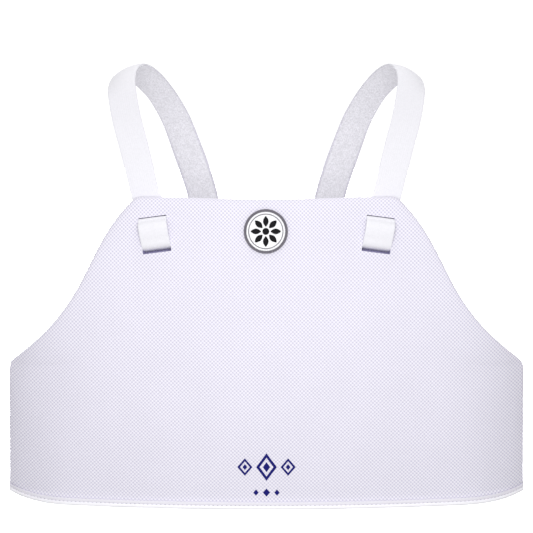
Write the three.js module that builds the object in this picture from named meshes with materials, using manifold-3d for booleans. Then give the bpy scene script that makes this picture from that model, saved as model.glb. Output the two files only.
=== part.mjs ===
// Fencing chest protector, in millimetres: a padded front panel that hangs on two shoulder straps and is
// closed by a band behind the wearer. +X is the viewer's right, +Y goes into the wearer and +Z is up.
// The origin is on the panel's inner face, on the midline, where it lies against the breastbone.

import * as THREE from 'three';
import { mergeVertices } from 'three/addons/utils/BufferGeometryUtils.js';
import Module from 'manifold-3d';

const seam = 0.35; // clearance between a piece and what it is sewn to
const weld = 1e-4; // points closer than this are one point
const degree = Math.PI / 180;

// The panel's wall: a stiff plate, foam and mesh cloth, bent round the chest and bulging from top to bottom
const panel = {
  thickness: 8,
  frontRadius: 520, // plan radius across the chest
  turnAt: 140, // half width where the wall begins to wrap round the ribs
  sideRadius: 95, // plan radius of that wrap
  bulgeRadius: 550, // radius of the bulge in the side view
  neckDip: 1.3, // the top edge is this much lower on the midline
  neckHalf: 65,
  bottomBow: 0.9, // the bottom edge dips this much from the midline to its corners
  cornerLift: 6.2, // and rises this much in them
  liftFrom: 150,
  liftFade: 50, // height over which that shape dies away upwards
};

// The right half of the panel's outline, laid flat: distance from the midline and height
const outline = {
  foot: new THREE.Vector2(205.2, -134),
  underArm: new THREE.Vector2(202.8, -37.5),
  underArmCorner: new THREE.Vector2(202.8, -32.2),
  armholeLow: new THREE.Vector2(198, -29.6),
  armholeLowPull: new THREE.Vector2(126.3, 10.4),
  armholeHighPull: new THREE.Vector2(138.8, 48.4),
  armholeHigh: new THREE.Vector2(98.5, 88.6),
  topCorner: new THREE.Vector2(94.9, 92.2),
  topEnd: new THREE.Vector2(90.6, 92.2),
};

// The hem is a strip folded round the panel's thin bottom edge, flush with the cloth in front
const hem = {
  wall: 1.05,
  leg: 4.4, // height of its two sides above the panel's own edge
  fold: 0.8, // rounding of the fold under the edge
  tongue: 3.2, // thickness of the panel inside the fold
  blendFront: 3.6, // height over which the panel regains its thickness
  blendBack: 10,
  leastEnd: 0.55, // share of its thickness left at its two ends
};

const strap = {
  width: 21,
  thickness: 1.6,
  bend: 1.6, // radius of the strap's middle where it folds through a slit
  across: -80.4, // middle of the visible stretch, laid flat
  height: 65.8,
  lean: 8 * degree, // the stretch between the slits leans outwards
  leanAbove: 0.28, // sideways run for each millimetre above the upper slit
  halfVisible: 11.6,
  tail: 30, // length that runs down behind the panel below the lower slit
  above: 22, // height, from the middle of the stretch, where it starts to leave the panel
  roll: 0.11, // rise across the width over the shoulder
  settle: 0.25, // share of the way over which it turns from the panel's plane to that rise
  steps: 62,
};

const slit = { width: 22.2, cornerRadius: 0.9, clear: 0.5, above: 1.0, below: 2.3 };

// The strap on the wearer's right: over the shoulder, down the back and onto the band
const shoulderRoute = [
  { x: -86.5, y: 16.3, z: 91.5 },
  { x: -91.5, y: 21, z: 111 },
  { x: -96, y: 28, z: 128 },
  { x: -101, y: 38, z: 145 },
  { x: -105, y: 55, z: 161.5 },
  { x: -106.3, y: 69, z: 170 },
  { x: -104.3, y: 84, z: 176.6 },
  { x: -99.3, y: 102, z: 181.2 },
  { x: -93.2, y: 120, z: 179.4 },
  { x: -87.5, y: 136, z: 171.5 },
  { x: -81.5, y: 149, z: 161.5 },
  { x: -76, y: 158, z: 151.5 },
  { x: -69, y: 167, z: 137.5 },
  { x: -62.2, y: 175, z: 118.7 },
  { x: -55.7, y: 181, z: 99.7 },
  { x: -49.2, y: 186, z: 77.6 },
  { x: -37.5, y: 194, z: 10 },
];
const strapEnd = { x: -20, lean: 0.18, above: 26, below: 13 };

const band = {
  width: 30,
  thickness: 1.8,
  height: -83,
  sewnFrom: 138, // the stretch that is sewn to the panel's inner face
  sewnTo: 170,
  seam: 0.85, // the flat band spans a hollow face, so its edges come closer than its middle
  uprightFrom: 0.12, // share of the half way round where it begins to turn upright
  uprightAt: 0.4,
  steps: 60,
};

// Half of the band's way round, seen from above
const bandRoute = [
  { x: -177, y: 57 },
  { x: -184, y: 92 },
  { x: -173, y: 138 },
  { x: -133, y: 177 },
  { x: -80, y: 193 },
  { x: -40, y: 196 },
  { x: 0, y: 196 },
];
const bandBack = 196;

const badge = {
  radius: 16,
  height: 68.1,
  thickness: 1.0,
  rimWidth: 2.6,
  rimSlope: 0.5, // width of the rim's bevels
  rimRise: 0.6,
  sides: 40,
};

const finish = {
  meshCloth: { color: 0xf0eef7, roughness: 0.82, metalness: 0 },
  hemTape: { color: 0xeeecf5, roughness: 0.75, metalness: 0 },
  elastic: { color: 0xf6f5fa, roughness: 0.65, metalness: 0 },
  badgeFace: { color: 0xcfd0d4, roughness: 0.45, metalness: 0 },
};

const turnLength = panel.frontRadius * Math.asin(panel.turnAt / panel.frontRadius);

// Plan of the outer face at a distance along it from the midline: place and heading
function planAt(across) {
  const run = Math.abs(across);
  const side = Math.sign(across);
  const front = Math.min(run, turnLength) / panel.frontRadius;
  const wrapped = front + Math.max(run - turnLength, 0) / panel.sideRadius;
  const { frontRadius, sideRadius } = panel;
  const x = frontRadius * Math.sin(front) + sideRadius * (Math.sin(wrapped) - Math.sin(front));
  const y = frontRadius * (1 - Math.cos(front)) + sideRadius * (Math.cos(front) - Math.cos(wrapped));
  return { x: side * x, y, heading: side * wrapped };
}

// A point off the panel's outer face: out is positive in front of it and negative inside the wall
function onPanel(across, height, out) {
  const plan = planAt(across);
  const level = Math.sqrt(panel.bulgeRadius ** 2 - height ** 2);
  const normal = new THREE.Vector3(
    Math.sin(plan.heading),
    -Math.cos(plan.heading),
    (Math.cos(plan.heading) * height) / level,
  ).normalize();
  const face = new THREE.Vector3(plan.x, plan.y + panel.bulgeRadius - level - panel.thickness, height);
  return face.addScaledVector(normal, out);
}

// Height of the bottom edge above its place on the midline
function bottomLift(across) {
  const past = Math.max(Math.abs(across) - panel.liftFrom, 0) / (outline.foot.x - panel.liftFrom);
  return panel.cornerLift * past ** 2 - panel.bottomBow * (across / outline.foot.x) ** 2;
}

// Share of the full thickness at a distance from a round edge
function roundEdge(distance, radius) {
  const inside = Math.min(distance / radius, 1);
  return Math.sqrt(1 - (1 - inside) ** 2);
}

function solid(positions, index) {
  const geometry = new THREE.BufferGeometry();
  geometry.setAttribute('position', new THREE.Float32BufferAttribute(positions, 3));
  geometry.setIndex(index);
  return mergeVertices(geometry, weld);
}

// A closed wall between two grids of points that share their borders, the first one facing outwards
function closedSkin(outer, inner) {
  const columns = outer[0].length;
  const positions = [outer, inner].flatMap((grid) => grid.flat().flatMap((point) => point.toArray()));
  const innerStart = outer.length * columns;
  const index = [];
  for (let row = 0; row + 1 < outer.length; row += 1) {
    for (let column = 0; column + 1 < columns; column += 1) {
      const a = row * columns + column;
      const b = a + 1;
      const c = b + columns;
      const d = a + columns;
      index.push(a, b, c, a, c, d);
      index.push(...[a, c, b, a, d, c].map((corner) => corner + innerStart));
    }
  }
  return solid(positions, index);
}

// A closed body through rings of points, each ring running anticlockwise as seen from the body's far end
function loft(rings, capOutline) {
  const sides = rings[0].length;
  const positions = rings.flat().flatMap((point) => point.toArray());
  const index = [];
  for (let ring = 0; ring + 1 < rings.length; ring += 1) {
    for (let side = 0; side < sides; side += 1) {
      const a = ring * sides + side;
      const b = ring * sides + ((side + 1) % sides);
      index.push(a, b, b + sides, a, b + sides, a + sides);
    }
  }
  const last = (rings.length - 1) * sides;
  for (const [a, b, c] of THREE.ShapeUtils.triangulateShape(capOutline, [])) {
    index.push(c, b, a);
    index.push(a + last, b + last, c + last);
  }
  return solid(positions, index);
}

// Flat webbing along stops that hold a point and the way its width lies
function webbing(stops, width, thickness) {
  const edge = 0.3 * thickness; // bevel along its edges
  const [w, n] = [width / 2, thickness / 2];
  const section = [
    [w - edge, n],
    [w, n - edge],
    [w, edge - n],
    [w - edge, -n],
    [edge - w, -n],
    [-w, edge - n],
    [-w, n - edge],
    [edge - w, n],
  ];
  const rings = stops.map((stop, order) => {
    const before = stops[Math.max(order - 1, 0)].point;
    const after = stops[Math.min(order + 1, stops.length - 1)].point;
    const travel = new THREE.Vector3();
    for (const [from, to] of [[before, stop.point], [stop.point, after]]) {
      travel.add(to.clone().sub(from).normalize());
    }
    travel.normalize();
    const across = stop.across.clone().addScaledVector(travel, -stop.across.dot(travel)).normalize();
    const face = across.clone().cross(travel);
    return section.map(([a, b]) => stop.point.clone().addScaledVector(across, a).addScaledVector(face, b));
  });
  return loft(rings, section.map(([a, b]) => new THREE.Vector2(b, a)));
}

const wasm = await Module();
wasm.setup();

function toManifold(geometry) {
  const bare = geometry.clone();
  bare.deleteAttribute('normal');
  bare.deleteAttribute('uv');
  const merged = mergeVertices(bare, weld);
  const vertProperties = new Float32Array(merged.getAttribute('position').array);
  const triVerts = new Uint32Array(merged.getIndex().array);
  return new wasm.Manifold(new wasm.Mesh({ numProp: 3, vertProperties, triVerts }));
}

function fromManifold(body) {
  const mesh = body.getMesh();
  return solid(Array.from(mesh.vertProperties), Array.from(mesh.triVerts));
}

// Rows of the panel from its bottom to its top: half width, height and the slant of its side edge
function panelRows() {
  const { foot, underArm, underArmCorner, armholeLow, armholeLowPull, armholeHighPull } = outline;
  const { armholeHigh, topCorner, topEnd } = outline;
  const sideRises = [0, 0.5, 1.6, 4.8, 6.6, 8.4, 11.5, 15, 28, 44, 60, 77];
  const sidePlaces = sideRises.map((rise) => rise / (underArm.y - foot.y));
  const evenPlaces = (count) => Array.from({ length: count }, (_, order) => order / count);
  const stretches = [
    { curve: new THREE.LineCurve(foot, underArm), places: sidePlaces },
    { curve: new THREE.QuadraticBezierCurve(underArm, underArmCorner, armholeLow), places: evenPlaces(4) },
    {
      curve: new THREE.CubicBezierCurve(armholeLow, armholeLowPull, armholeHighPull, armholeHigh),
      places: evenPlaces(14),
    },
    {
      curve: new THREE.QuadraticBezierCurve(armholeHigh, topCorner, topEnd),
      places: [...evenPlaces(4), 1],
    },
  ];
  const steepest = 1.8;
  return stretches.flatMap(({ curve, places }) => places.map((place) => {
    const point = curve.getPoint(place);
    const slant = Math.min(1 / Math.max(curve.getTangent(place).y, weld), steepest);
    return { half: point.x, height: point.y, slant };
  }));
}

// Distances of a row's points from the midline, close together at the round side edges
function panelColumns(row) {
  const fromEdge = [4, 1.8, 0.5, 0];
  const perHalf = 15;
  const right = fromEdge.map((distance) => row.half - distance * row.slant);
  const left = right.map((place) => -place).reverse();
  const middle = [];
  for (let column = 1 - perHalf; column < perHalf; column += 1) {
    middle.push((column / perHalf) * right[0]);
  }
  return [...left, ...middle, ...right];
}

function buildPanel() {
  const edgeRadius = panel.thickness / 2;
  const top = outline.topEnd.y;
  const frontStep = hem.wall + seam;
  const backStep = panel.thickness - hem.tongue - frontStep;
  const outer = [];
  const inner = [];
  for (const row of panelRows()) {
    const rise = row.height - outline.foot.y;
    const overHem = rise - hem.leg - seam;
    const front = -frontStep * (1 - THREE.MathUtils.smoothstep(overHem, 0, hem.blendFront));
    const back = backStep * (1 - THREE.MathUtils.smoothstep(overHem, 0, hem.blendBack)) - panel.thickness;
    const dipShare = THREE.MathUtils.smoothstep(row.height, outline.armholeHighPull.y, top);
    const liftShare = 1 - THREE.MathUtils.smoothstep(rise, 0, panel.liftFade);
    const outerRow = [];
    const innerRow = [];
    for (const across of panelColumns(row)) {
      const dip = panel.neckDip * Math.max(1 - (across / panel.neckHalf) ** 2, 0);
      const height = row.height - dip * dipShare + bottomLift(across) * liftShare;
      const fullness = roundEdge((row.half - Math.abs(across)) / row.slant, edgeRadius)
        * roundEdge(top - row.height, edgeRadius) * roundEdge(rise, hem.tongue / 2);
      const middle = (front + back) / 2;
      const half = ((front - back) / 2) * fullness;
      outerRow.push(onPanel(across, height, middle + half));
      innerRow.push(onPanel(across, height, middle - half));
    }
    outer.push(outerRow);
    inner.push(innerRow);
  }
  return closedSkin(outer, inner);
}

// A place beside the strap's visible stretch: along its width, up its length and out from the panel
function besideStrap(width, up, out) {
  const across = strap.across + width * Math.cos(strap.lean) - up * Math.sin(strap.lean);
  const height = strap.height + width * Math.sin(strap.lean) + up * Math.cos(strap.lean);
  return onPanel(across, height, out);
}

const strapMiddleUp = strap.halfVisible - strap.thickness / 2;

// The two slits of one strap, as lower and upper limits along it
const slits = [
  { low: -strap.halfVisible - slit.below, high: -strapMiddleUp + strap.thickness / 2 + slit.clear },
  { low: strapMiddleUp - strap.thickness / 2 - slit.clear, high: strap.halfVisible + slit.above },
];

// A bar with rounded corners that cuts one slit, on the wearer's right or, with side -1, on the left
function slitCutter({ low, high }, side) {
  const [w, h, r] = [slit.width / 2, (high - low) / 2, slit.cornerRadius];
  const quarter = Math.PI / 2;
  const shape = new THREE.Shape();
  shape.moveTo(r - w, -h);
  shape.absarc(w - r, r - h, r, -quarter, 0);
  shape.absarc(w - r, h - r, r, 0, quarter);
  shape.absarc(r - w, h - r, r, quarter, 2 * quarter);
  shape.absarc(r - w, r - h, r, 2 * quarter, 3 * quarter);
  const depth = 3 * panel.thickness;
  const cutter = new THREE.ExtrudeGeometry(shape, { depth, bevelEnabled: false, curveSegments: 3 });
  const up = (low + high) / 2;
  const start = besideStrap(0, up, -2 * panel.thickness);
  const outwards = besideStrap(0, up, 0).sub(start).normalize();
  const sideways = besideStrap(1, up, -2 * panel.thickness).sub(start);
  const alongStrap = outwards.clone().cross(sideways).normalize();
  for (const vector of [start, outwards, alongStrap]) {
    vector.x *= side;
  }
  const alongWidth = alongStrap.clone().cross(outwards);
  const place = new THREE.Matrix4().makeBasis(alongWidth, alongStrap, outwards).setPosition(start);
  return toManifold(cutter.applyMatrix4(place));
}

function cutSlits(geometry) {
  let body = toManifold(geometry);
  for (const side of [1, -1]) {
    for (const limits of slits) {
      body = body.subtract(slitCutter(limits, side));
    }
  }
  return fromManifold(body);
}

function buildHem() {
  const half = outline.foot.x;
  const front = 0;
  const back = -2 * (hem.wall + seam) - hem.tongue;
  const floor = -seam;
  const section = [
    [front, hem.leg],
    [front, floor - hem.wall + hem.fold],
    [front - hem.fold, floor - hem.wall],
    [back + hem.fold, floor - hem.wall],
    [back, floor - hem.wall + hem.fold],
    [back, hem.leg],
    [back + hem.wall, hem.leg],
    [back + hem.wall, floor],
    [front - hem.wall, floor],
    [front - hem.wall, hem.leg],
  ];
  const middle = (front + back) / 2;
  const rings = panelColumns({ half, slant: 1 }).map((across) => {
    const bottom = outline.foot.y + bottomLift(across);
    const fullness = Math.max(roundEdge(half - Math.abs(across), panel.thickness / 2), hem.leastEnd);
    return section.map(([out, up]) => onPanel(across, bottom + up, middle + (out - middle) * fullness));
  });
  return loft(rings, section.map(([out, up]) => new THREE.Vector2(out, -up)));
}

// The strap from its end behind the panel, out and in again through the slits and over the shoulder
function strapStops() {
  const outside = seam + strap.thickness / 2;
  const inside = -panel.thickness - outside;
  const turn = strap.bend;
  const quarter = Math.PI / 2;
  const stops = [];
  const addPoint = (up, out) => {
    const leaning = up > strapMiddleUp + turn ? strap.leanAbove : 0;
    const shift = -leaning * (up - strapMiddleUp - turn);
    const point = besideStrap(shift, up, out);
    stops.push({ point, across: besideStrap(shift + 1, up + leaning, out).sub(point).normalize() });
  };
  const addRun = (from, to, out, pieces) => {
    for (let piece = 0; piece <= pieces; piece += 1) {
      addPoint(THREE.MathUtils.lerp(from, to, piece / pieces), out);
    }
  };
  const addTurn = (up, out, from, to) => {
    const pieces = 4;
    for (let piece = 1; piece < pieces; piece += 1) {
      const angle = THREE.MathUtils.lerp(from, to, piece / pieces);
      addPoint(up + turn * Math.cos(angle), out + turn * Math.sin(angle));
    }
  };
  const [far, near] = [strapMiddleUp + turn, strapMiddleUp - turn];
  addRun(-far - strap.tail, -far, inside, 5);
  addTurn(-far, inside + turn, -quarter, 0);
  addPoint(-strapMiddleUp, inside + turn);
  addPoint(-strapMiddleUp, outside - turn);
  addTurn(-near, outside - turn, 2 * quarter, quarter);
  addRun(-near, near, outside, 4);
  addTurn(near, outside - turn, quarter, 0);
  addPoint(strapMiddleUp, outside - turn);
  addPoint(strapMiddleUp, inside + turn);
  addTurn(far, inside + turn, 2 * quarter, 3 * quarter);
  addRun(far, strap.above, inside, 2);

  const backFace = bandBack + band.thickness / 2 + seam + strap.thickness / 2;
  const sewn = [strapEnd.above, 0, -strapEnd.below].map(
    (up) => new THREE.Vector3(strapEnd.x - strapEnd.lean * up, backFace, band.height + up),
  );
  const leaving = stops.at(-1);
  const route = [leaving.point, ...shoulderRoute.map(({ x, y, z }) => new THREE.Vector3(x, y, z)), ...sewn];
  const spaced = new THREE.CatmullRomCurve3(route).getSpacedPoints(strap.steps);
  const overShoulder = new THREE.Vector3(1, 0, strap.roll);
  for (let step = 1; step <= strap.steps; step += 1) {
    const settled = THREE.MathUtils.smoothstep(step / strap.steps, 0, strap.settle);
    const across = leaving.across.clone().lerp(overShoulder, settled);
    stops.push({ point: spaced[step], across });
  }
  return stops;
}

function buildStrap() {
  return webbing(strapStops(), strap.width, strap.thickness);
}

// The band starts on the panel's inner face near one side edge and ends there on the other side
function buildBand() {
  const inside = -panel.thickness - band.seam - band.thickness / 2;
  const sewn = [0, 0.5, 1].map((share) => {
    const across = -THREE.MathUtils.lerp(band.sewnFrom, band.sewnTo, share);
    return onPanel(across, band.height, inside);
  });
  const slope = onPanel(-band.sewnTo, band.height + 1, inside).sub(sewn.at(-1)).normalize();
  const halfWay = [...sewn, ...bandRoute.map(({ x, y }) => new THREE.Vector3(x, y, band.height))];
  const mirrored = halfWay.slice(0, -1).map(({ x, y, z }) => new THREE.Vector3(-x, y, z));
  const curve = new THREE.CatmullRomCurve3([...halfWay, ...mirrored.reverse()]);
  const upright = new THREE.Vector3(0, 0, 1);
  const stops = curve.getSpacedPoints(band.steps).map((point, step) => {
    const fromEnd = 1 - Math.abs((2 * step) / band.steps - 1);
    const turned = THREE.MathUtils.smoothstep(fromEnd, band.uprightFrom, band.uprightAt);
    return { point, across: slope.clone().lerp(upright, turned) };
  });
  return webbing(stops, band.width, band.thickness);
}

// A round disc with a raised rim, laid on the panel's curve
function buildBadge() {
  const { radius, thickness, rimWidth, rimSlope, rimRise, sides } = badge;
  const base = seam;
  const face = base + thickness;
  const profile = [
    [0, base],
    [radius, base],
    [radius, face],
    [radius - rimSlope, face + rimRise],
    [radius - rimWidth + rimSlope, face + rimRise],
    [radius - rimWidth, face],
    [0, face],
  ];
  const disc = new THREE.LatheGeometry(profile.map(([x, y]) => new THREE.Vector2(x, y)), sides);
  const place = disc.getAttribute('position');
  for (let order = 0; order < place.count; order += 1) {
    const point = onPanel(place.getX(order), badge.height - place.getZ(order), place.getY(order));
    place.setXYZ(order, point.x, point.y, point.z);
  }
  disc.deleteAttribute('normal');
  disc.deleteAttribute('uv');
  return mergeVertices(disc, weld);
}

const protector = new THREE.Group();

function addPiece(name, geometry, look) {
  const mesh = new THREE.Mesh(geometry, new THREE.MeshStandardMaterial(look));
  mesh.name = name;
  protector.add(mesh);
  return mesh;
}

addPiece('chest_panel', cutSlits(buildPanel()), finish.meshCloth);
addPiece('bottom_hem', buildHem(), finish.hemTape);
addPiece('strap_right', buildStrap(), finish.elastic);
addPiece('strap_left', buildStrap(), finish.elastic).scale.x = -1;
addPiece('back_band', buildBand(), finish.elastic);
addPiece('badge', buildBadge(), finish.badgeFace);

export default protector;
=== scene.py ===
"""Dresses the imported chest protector: padded mesh panel, folded hem, elastic straps, back band and badge."""

import logging
import math
from bisect import bisect_right
from collections.abc import Callable, Sequence
from dataclasses import dataclass, field, replace
from enum import Enum
from functools import partial
from itertools import accumulate, pairwise
from typing import Any, NamedTuple

import bmesh
import bpy
from bmesh.types import BMesh, BMFace, BMVert
from bpy.types import Material, Mesh, Node, NodeSocket, NodeTree, Object
from mathutils import Matrix, Vector
from mathutils.bvhtree import BVHTree

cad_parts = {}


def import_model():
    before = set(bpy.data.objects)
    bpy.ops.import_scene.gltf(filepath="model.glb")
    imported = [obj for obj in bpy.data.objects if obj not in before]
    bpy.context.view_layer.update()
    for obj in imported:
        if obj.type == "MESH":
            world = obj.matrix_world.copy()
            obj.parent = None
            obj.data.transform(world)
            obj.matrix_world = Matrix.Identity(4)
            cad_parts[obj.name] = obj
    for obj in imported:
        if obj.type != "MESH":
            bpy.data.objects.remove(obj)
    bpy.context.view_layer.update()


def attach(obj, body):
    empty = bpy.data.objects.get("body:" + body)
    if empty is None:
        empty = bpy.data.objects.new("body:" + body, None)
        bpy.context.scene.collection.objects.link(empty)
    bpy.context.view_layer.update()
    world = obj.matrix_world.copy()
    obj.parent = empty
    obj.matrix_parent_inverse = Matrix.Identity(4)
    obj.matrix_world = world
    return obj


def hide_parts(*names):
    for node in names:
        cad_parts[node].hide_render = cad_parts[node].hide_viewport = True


LOG = logging.getLogger("chest_protector")
MM = 0.001
CLOTH_MAP = "cloth_mm"
# The gap between a piece and what carries it
SEAM = 0.35 * MM
# Points closer than this are one
TOUCHING = 1e-6
# A curve is drawn in pieces of this share of its spacing, and at least so many between two of its points
FINE_SHARE = 0.2
FEWEST_PIECES = 4
# The two knots that each step of a curve's blend lies between
BLEND_SPANS = (((0, 1), (1, 2), (2, 3)), ((0, 2), (1, 3)), ((1, 2),))


class Side(Enum):
    """The wearer's sides, as they stand in the pieces' names."""

    RIGHT = "right"
    LEFT = "left"


class Skin(Enum):
    """The parts of a two-faced sheet, as places in its list of materials."""

    OUTER = 0
    INNER = 1
    CUT = 2


class BadgePart(Enum):
    """The colours of the badge, as places in its list of materials."""

    FIELD = 0
    RIM = 1
    MOTIF = 2


class Slot(Enum):
    """The record's material slots."""

    MESH_CLOTH = "mesh_cloth"
    HEM_TAPE = "hem_tape"
    ELASTIC = "elastic_webbing"
    BADGE = "badge_rubber"


def smoothstep(value: float, low: float, high: float) -> float:
    """Ease from 0 at low to 1 at high."""
    share = min(max((value - low) / (high - low), 0.0), 1.0)
    return share * share * (3.0 - 2.0 * share)


def round_edge(distance: float, radius: float) -> float:
    """Share of the full thickness at a distance inside a rounded edge."""
    return math.sqrt(max(1.0 - (1.0 - min(distance / radius, 1.0)) ** 2, 0.0))


def even(low: float, high: float, count: int) -> list[float]:
    """Evenly spaced numbers from low to high, both included."""
    return [low + (high - low) * step / (count - 1) for step in range(count)]


def lengths_along(points: Sequence[Vector]) -> list[float]:
    """The length along a line of points at each of them."""
    return [0.0, *accumulate((end - start).length for start, end in pairwise(points))]


def stretch_at(reached: Sequence[float], length: float) -> tuple[int, float]:
    """Find the stretch of a line that holds a length along it.

    Args:
        reached: The length at each of the line's points.
        length: The length to find.

    Returns:
        The number of the stretch's first point, and the share of the stretch before the place.
    """
    order = min(max(bisect_right(reached, length) - 1, 0), len(reached) - 2)
    return order, (length - reached[order]) / (reached[order + 1] - reached[order])


def spline(points: Sequence[Vector], spacing: float) -> list[Vector]:
    """Draw a smooth centripetal curve through points and walk it in even steps.

    Args:
        points: The points that it goes through.
        spacing: About how long a step is, in metres.

    Returns:
        Points along the curve, first and last included.
    """
    padded = [2 * points[0] - points[1], *points, 2 * points[-1] - points[-2]]
    fine = [points[0].copy()]
    for corners in zip(padded, padded[1:], padded[2:], padded[3:]):
        knots = [0.0, *accumulate(math.sqrt((end - start).length) for start, end in pairwise(corners))]
        stretch = (corners[2] - corners[1]).length
        pieces = max(FEWEST_PIECES, math.ceil(stretch / (FINE_SHARE * spacing)))
        for step in range(1, pieces + 1):
            knot = knots[1] + (knots[2] - knots[1]) * step / pieces
            blend = list(corners)
            for spans in BLEND_SPANS:
                blend = [start.lerp(end, (knot - knots[low]) / (knots[high] - knots[low]))
                         for (start, end), (low, high) in zip(pairwise(blend), spans)]
            fine.append(blend[0])
    reached = lengths_along(fine)
    walked = []
    for length in even(0.0, reached[-1], max(2, round(reached[-1] / spacing) + 1)):
        order, share = stretch_at(reached, length)
        walked.append(fine[order].lerp(fine[order + 1], share))
    return walked


def linear(colour: str) -> tuple[float, float, float, float]:
    """Turn an sRGB hex colour to linear light.

    Args:
        colour: Six hex digits after a hash sign.

    Returns:
        Red, green, blue and an alpha of one.
    """
    channels = [int(colour[at : at + 2], 16) / 255 for at in (1, 3, 5)]
    light = [c / 12.92 if c <= 0.04045 else ((c + 0.055) / 1.055) ** 2.4 for c in channels]
    return light[0], light[1], light[2], 1.0


def put(tree: NodeTree, kind: str, settings: dict[str, Any] | None = None,
        inputs: dict[str | int, Any] | None = None) -> Node:
    """Add one node with its settings and links.

    Args:
        tree: The node tree that it goes into.
        kind: Blender's name for the node type.
        settings: The node's own properties.
        inputs: Socket names or numbers, each with an output socket to link or a value to set.

    Returns:
        The new node.
    """
    node = tree.nodes.new(kind)
    for name, value in (settings or {}).items():
        setattr(node, name, value)
    for name, value in (inputs or {}).items():
        if isinstance(value, NodeSocket):
            tree.links.new(value, node.inputs[name])
        else:
            node.inputs[name].default_value = value
    return node


def shade(data: Mesh, sharp: float) -> None:
    """Shade a mesh smooth, apart from edges that turn by more than so many degrees."""
    data.shade_smooth()
    data.set_sharp_from_angle(angle=math.radians(sharp))


def add_piece(name: str, mesh: BMesh, materials: Sequence[Material], sharp: float = 40.0) -> Object:
    """Make a shown object from a finished bmesh.

    Args:
        name: The object's name.
        mesh: The shape, which is freed here.
        materials: Its materials in the order of its faces' numbers.
        sharp: Edges that turn by more than this many degrees are drawn sharp.

    Returns:
        The new object, at the origin.
    """
    data = bpy.data.meshes.new(name)
    mesh.to_mesh(data)
    mesh.free()
    for material in materials:
        data.materials.append(material)
    shade(data, sharp)
    piece = bpy.data.objects.new(name, data)
    bpy.context.scene.collection.objects.link(piece)
    return piece


def settle(piece: Object, slot: Slot, *nodes: str) -> Object:
    """Hang a piece on the frame.

    Args:
        piece: The finished piece.
        slot: The record's slot for the piece; not used.
        nodes: The CAD nodes that it stands for.

    Returns:
        The piece.
    """
    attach(piece, "root")
    if nodes:
        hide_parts(*nodes)
    return piece


class SheetSpot(NamedTuple):
    """One place on a sheet: a point on each of its faces, and its flat place in millimetres."""

    outer: Vector
    inner: Vector
    flat: tuple[float, float]


def two_faced_sheet(spots: Sequence[Sequence[SheetSpot]]) -> BMesh:
    """Make a closed sheet from one grid, its copy and a wall between their borders.

    Args:
        spots: The rows of places on the sheet, all equally long.

    Returns:
        The sheet, with each face numbered by its Skin. Border points that meet are merged.
    """
    last_row, last_column = len(spots) - 1, len(spots[0]) - 1
    mesh = bmesh.new()
    bmesh.ops.create_grid(mesh, x_segments=last_column, y_segments=last_row, size=1.0)
    flat_u = mesh.verts.layers.float.new("flat_u")
    flat_v = mesh.verts.layers.float.new("flat_v")
    placed = {}
    for vert in mesh.verts:
        spot = spots[round((vert.co.y + 1) / 2 * last_row)][round((vert.co.x + 1) / 2 * last_column)]
        placed[vert] = spot
        vert[flat_u], vert[flat_v] = spot.flat
    outer_border = [edge for edge in mesh.edges if edge.is_boundary]
    copied = bmesh.ops.duplicate(mesh, geom=mesh.verts[:] + mesh.edges[:] + mesh.faces[:])
    twin = copied["vert_map"]
    inner_faces = [part for part in copied["geom"] if isinstance(part, BMFace)]
    inner_border = [copied["edge_map"][edge] for edge in outer_border]
    for vert, spot in placed.items():
        vert.co = spot.outer
        twin[vert].co = spot.inner
    for face in inner_faces:
        face.material_index = Skin.INNER.value
    bmesh.ops.reverse_faces(mesh, faces=inner_faces)
    apart = max((vert.co - twin[vert].co).length for edge in outer_border for vert in edge.verts)
    if apart > TOUCHING:
        wall = bmesh.ops.bridge_loops(mesh, edges=outer_border + inner_border)
        for face in wall["faces"]:
            face.material_index = Skin.CUT.value
    else:
        bmesh.ops.remove_doubles(mesh, verts=mesh.verts[:], dist=TOUCHING)
    bmesh.ops.recalc_face_normals(mesh, faces=mesh.faces[:])
    flat = mesh.loops.layers.uv.new(CLOTH_MAP)
    for face in mesh.faces:
        for loop in face.loops:
            loop[flat].uv = (loop.vert[flat_u], loop.vert[flat_v])
    return mesh


def turned_to(side: Side, mesh: BMesh) -> BMesh:
    """Mirror a right-hand shape for the wearer's left, with its faces turned out again.

    Args:
        side: The side that it is for.
        mesh: The right-hand shape, which is changed.

    Returns:
        The same mesh.
    """
    if side is Side.LEFT:
        bmesh.ops.scale(mesh, vec=(-1, 1, 1), verts=mesh.verts[:])
        bmesh.ops.reverse_faces(mesh, faces=mesh.faces[:])
    return mesh


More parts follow.
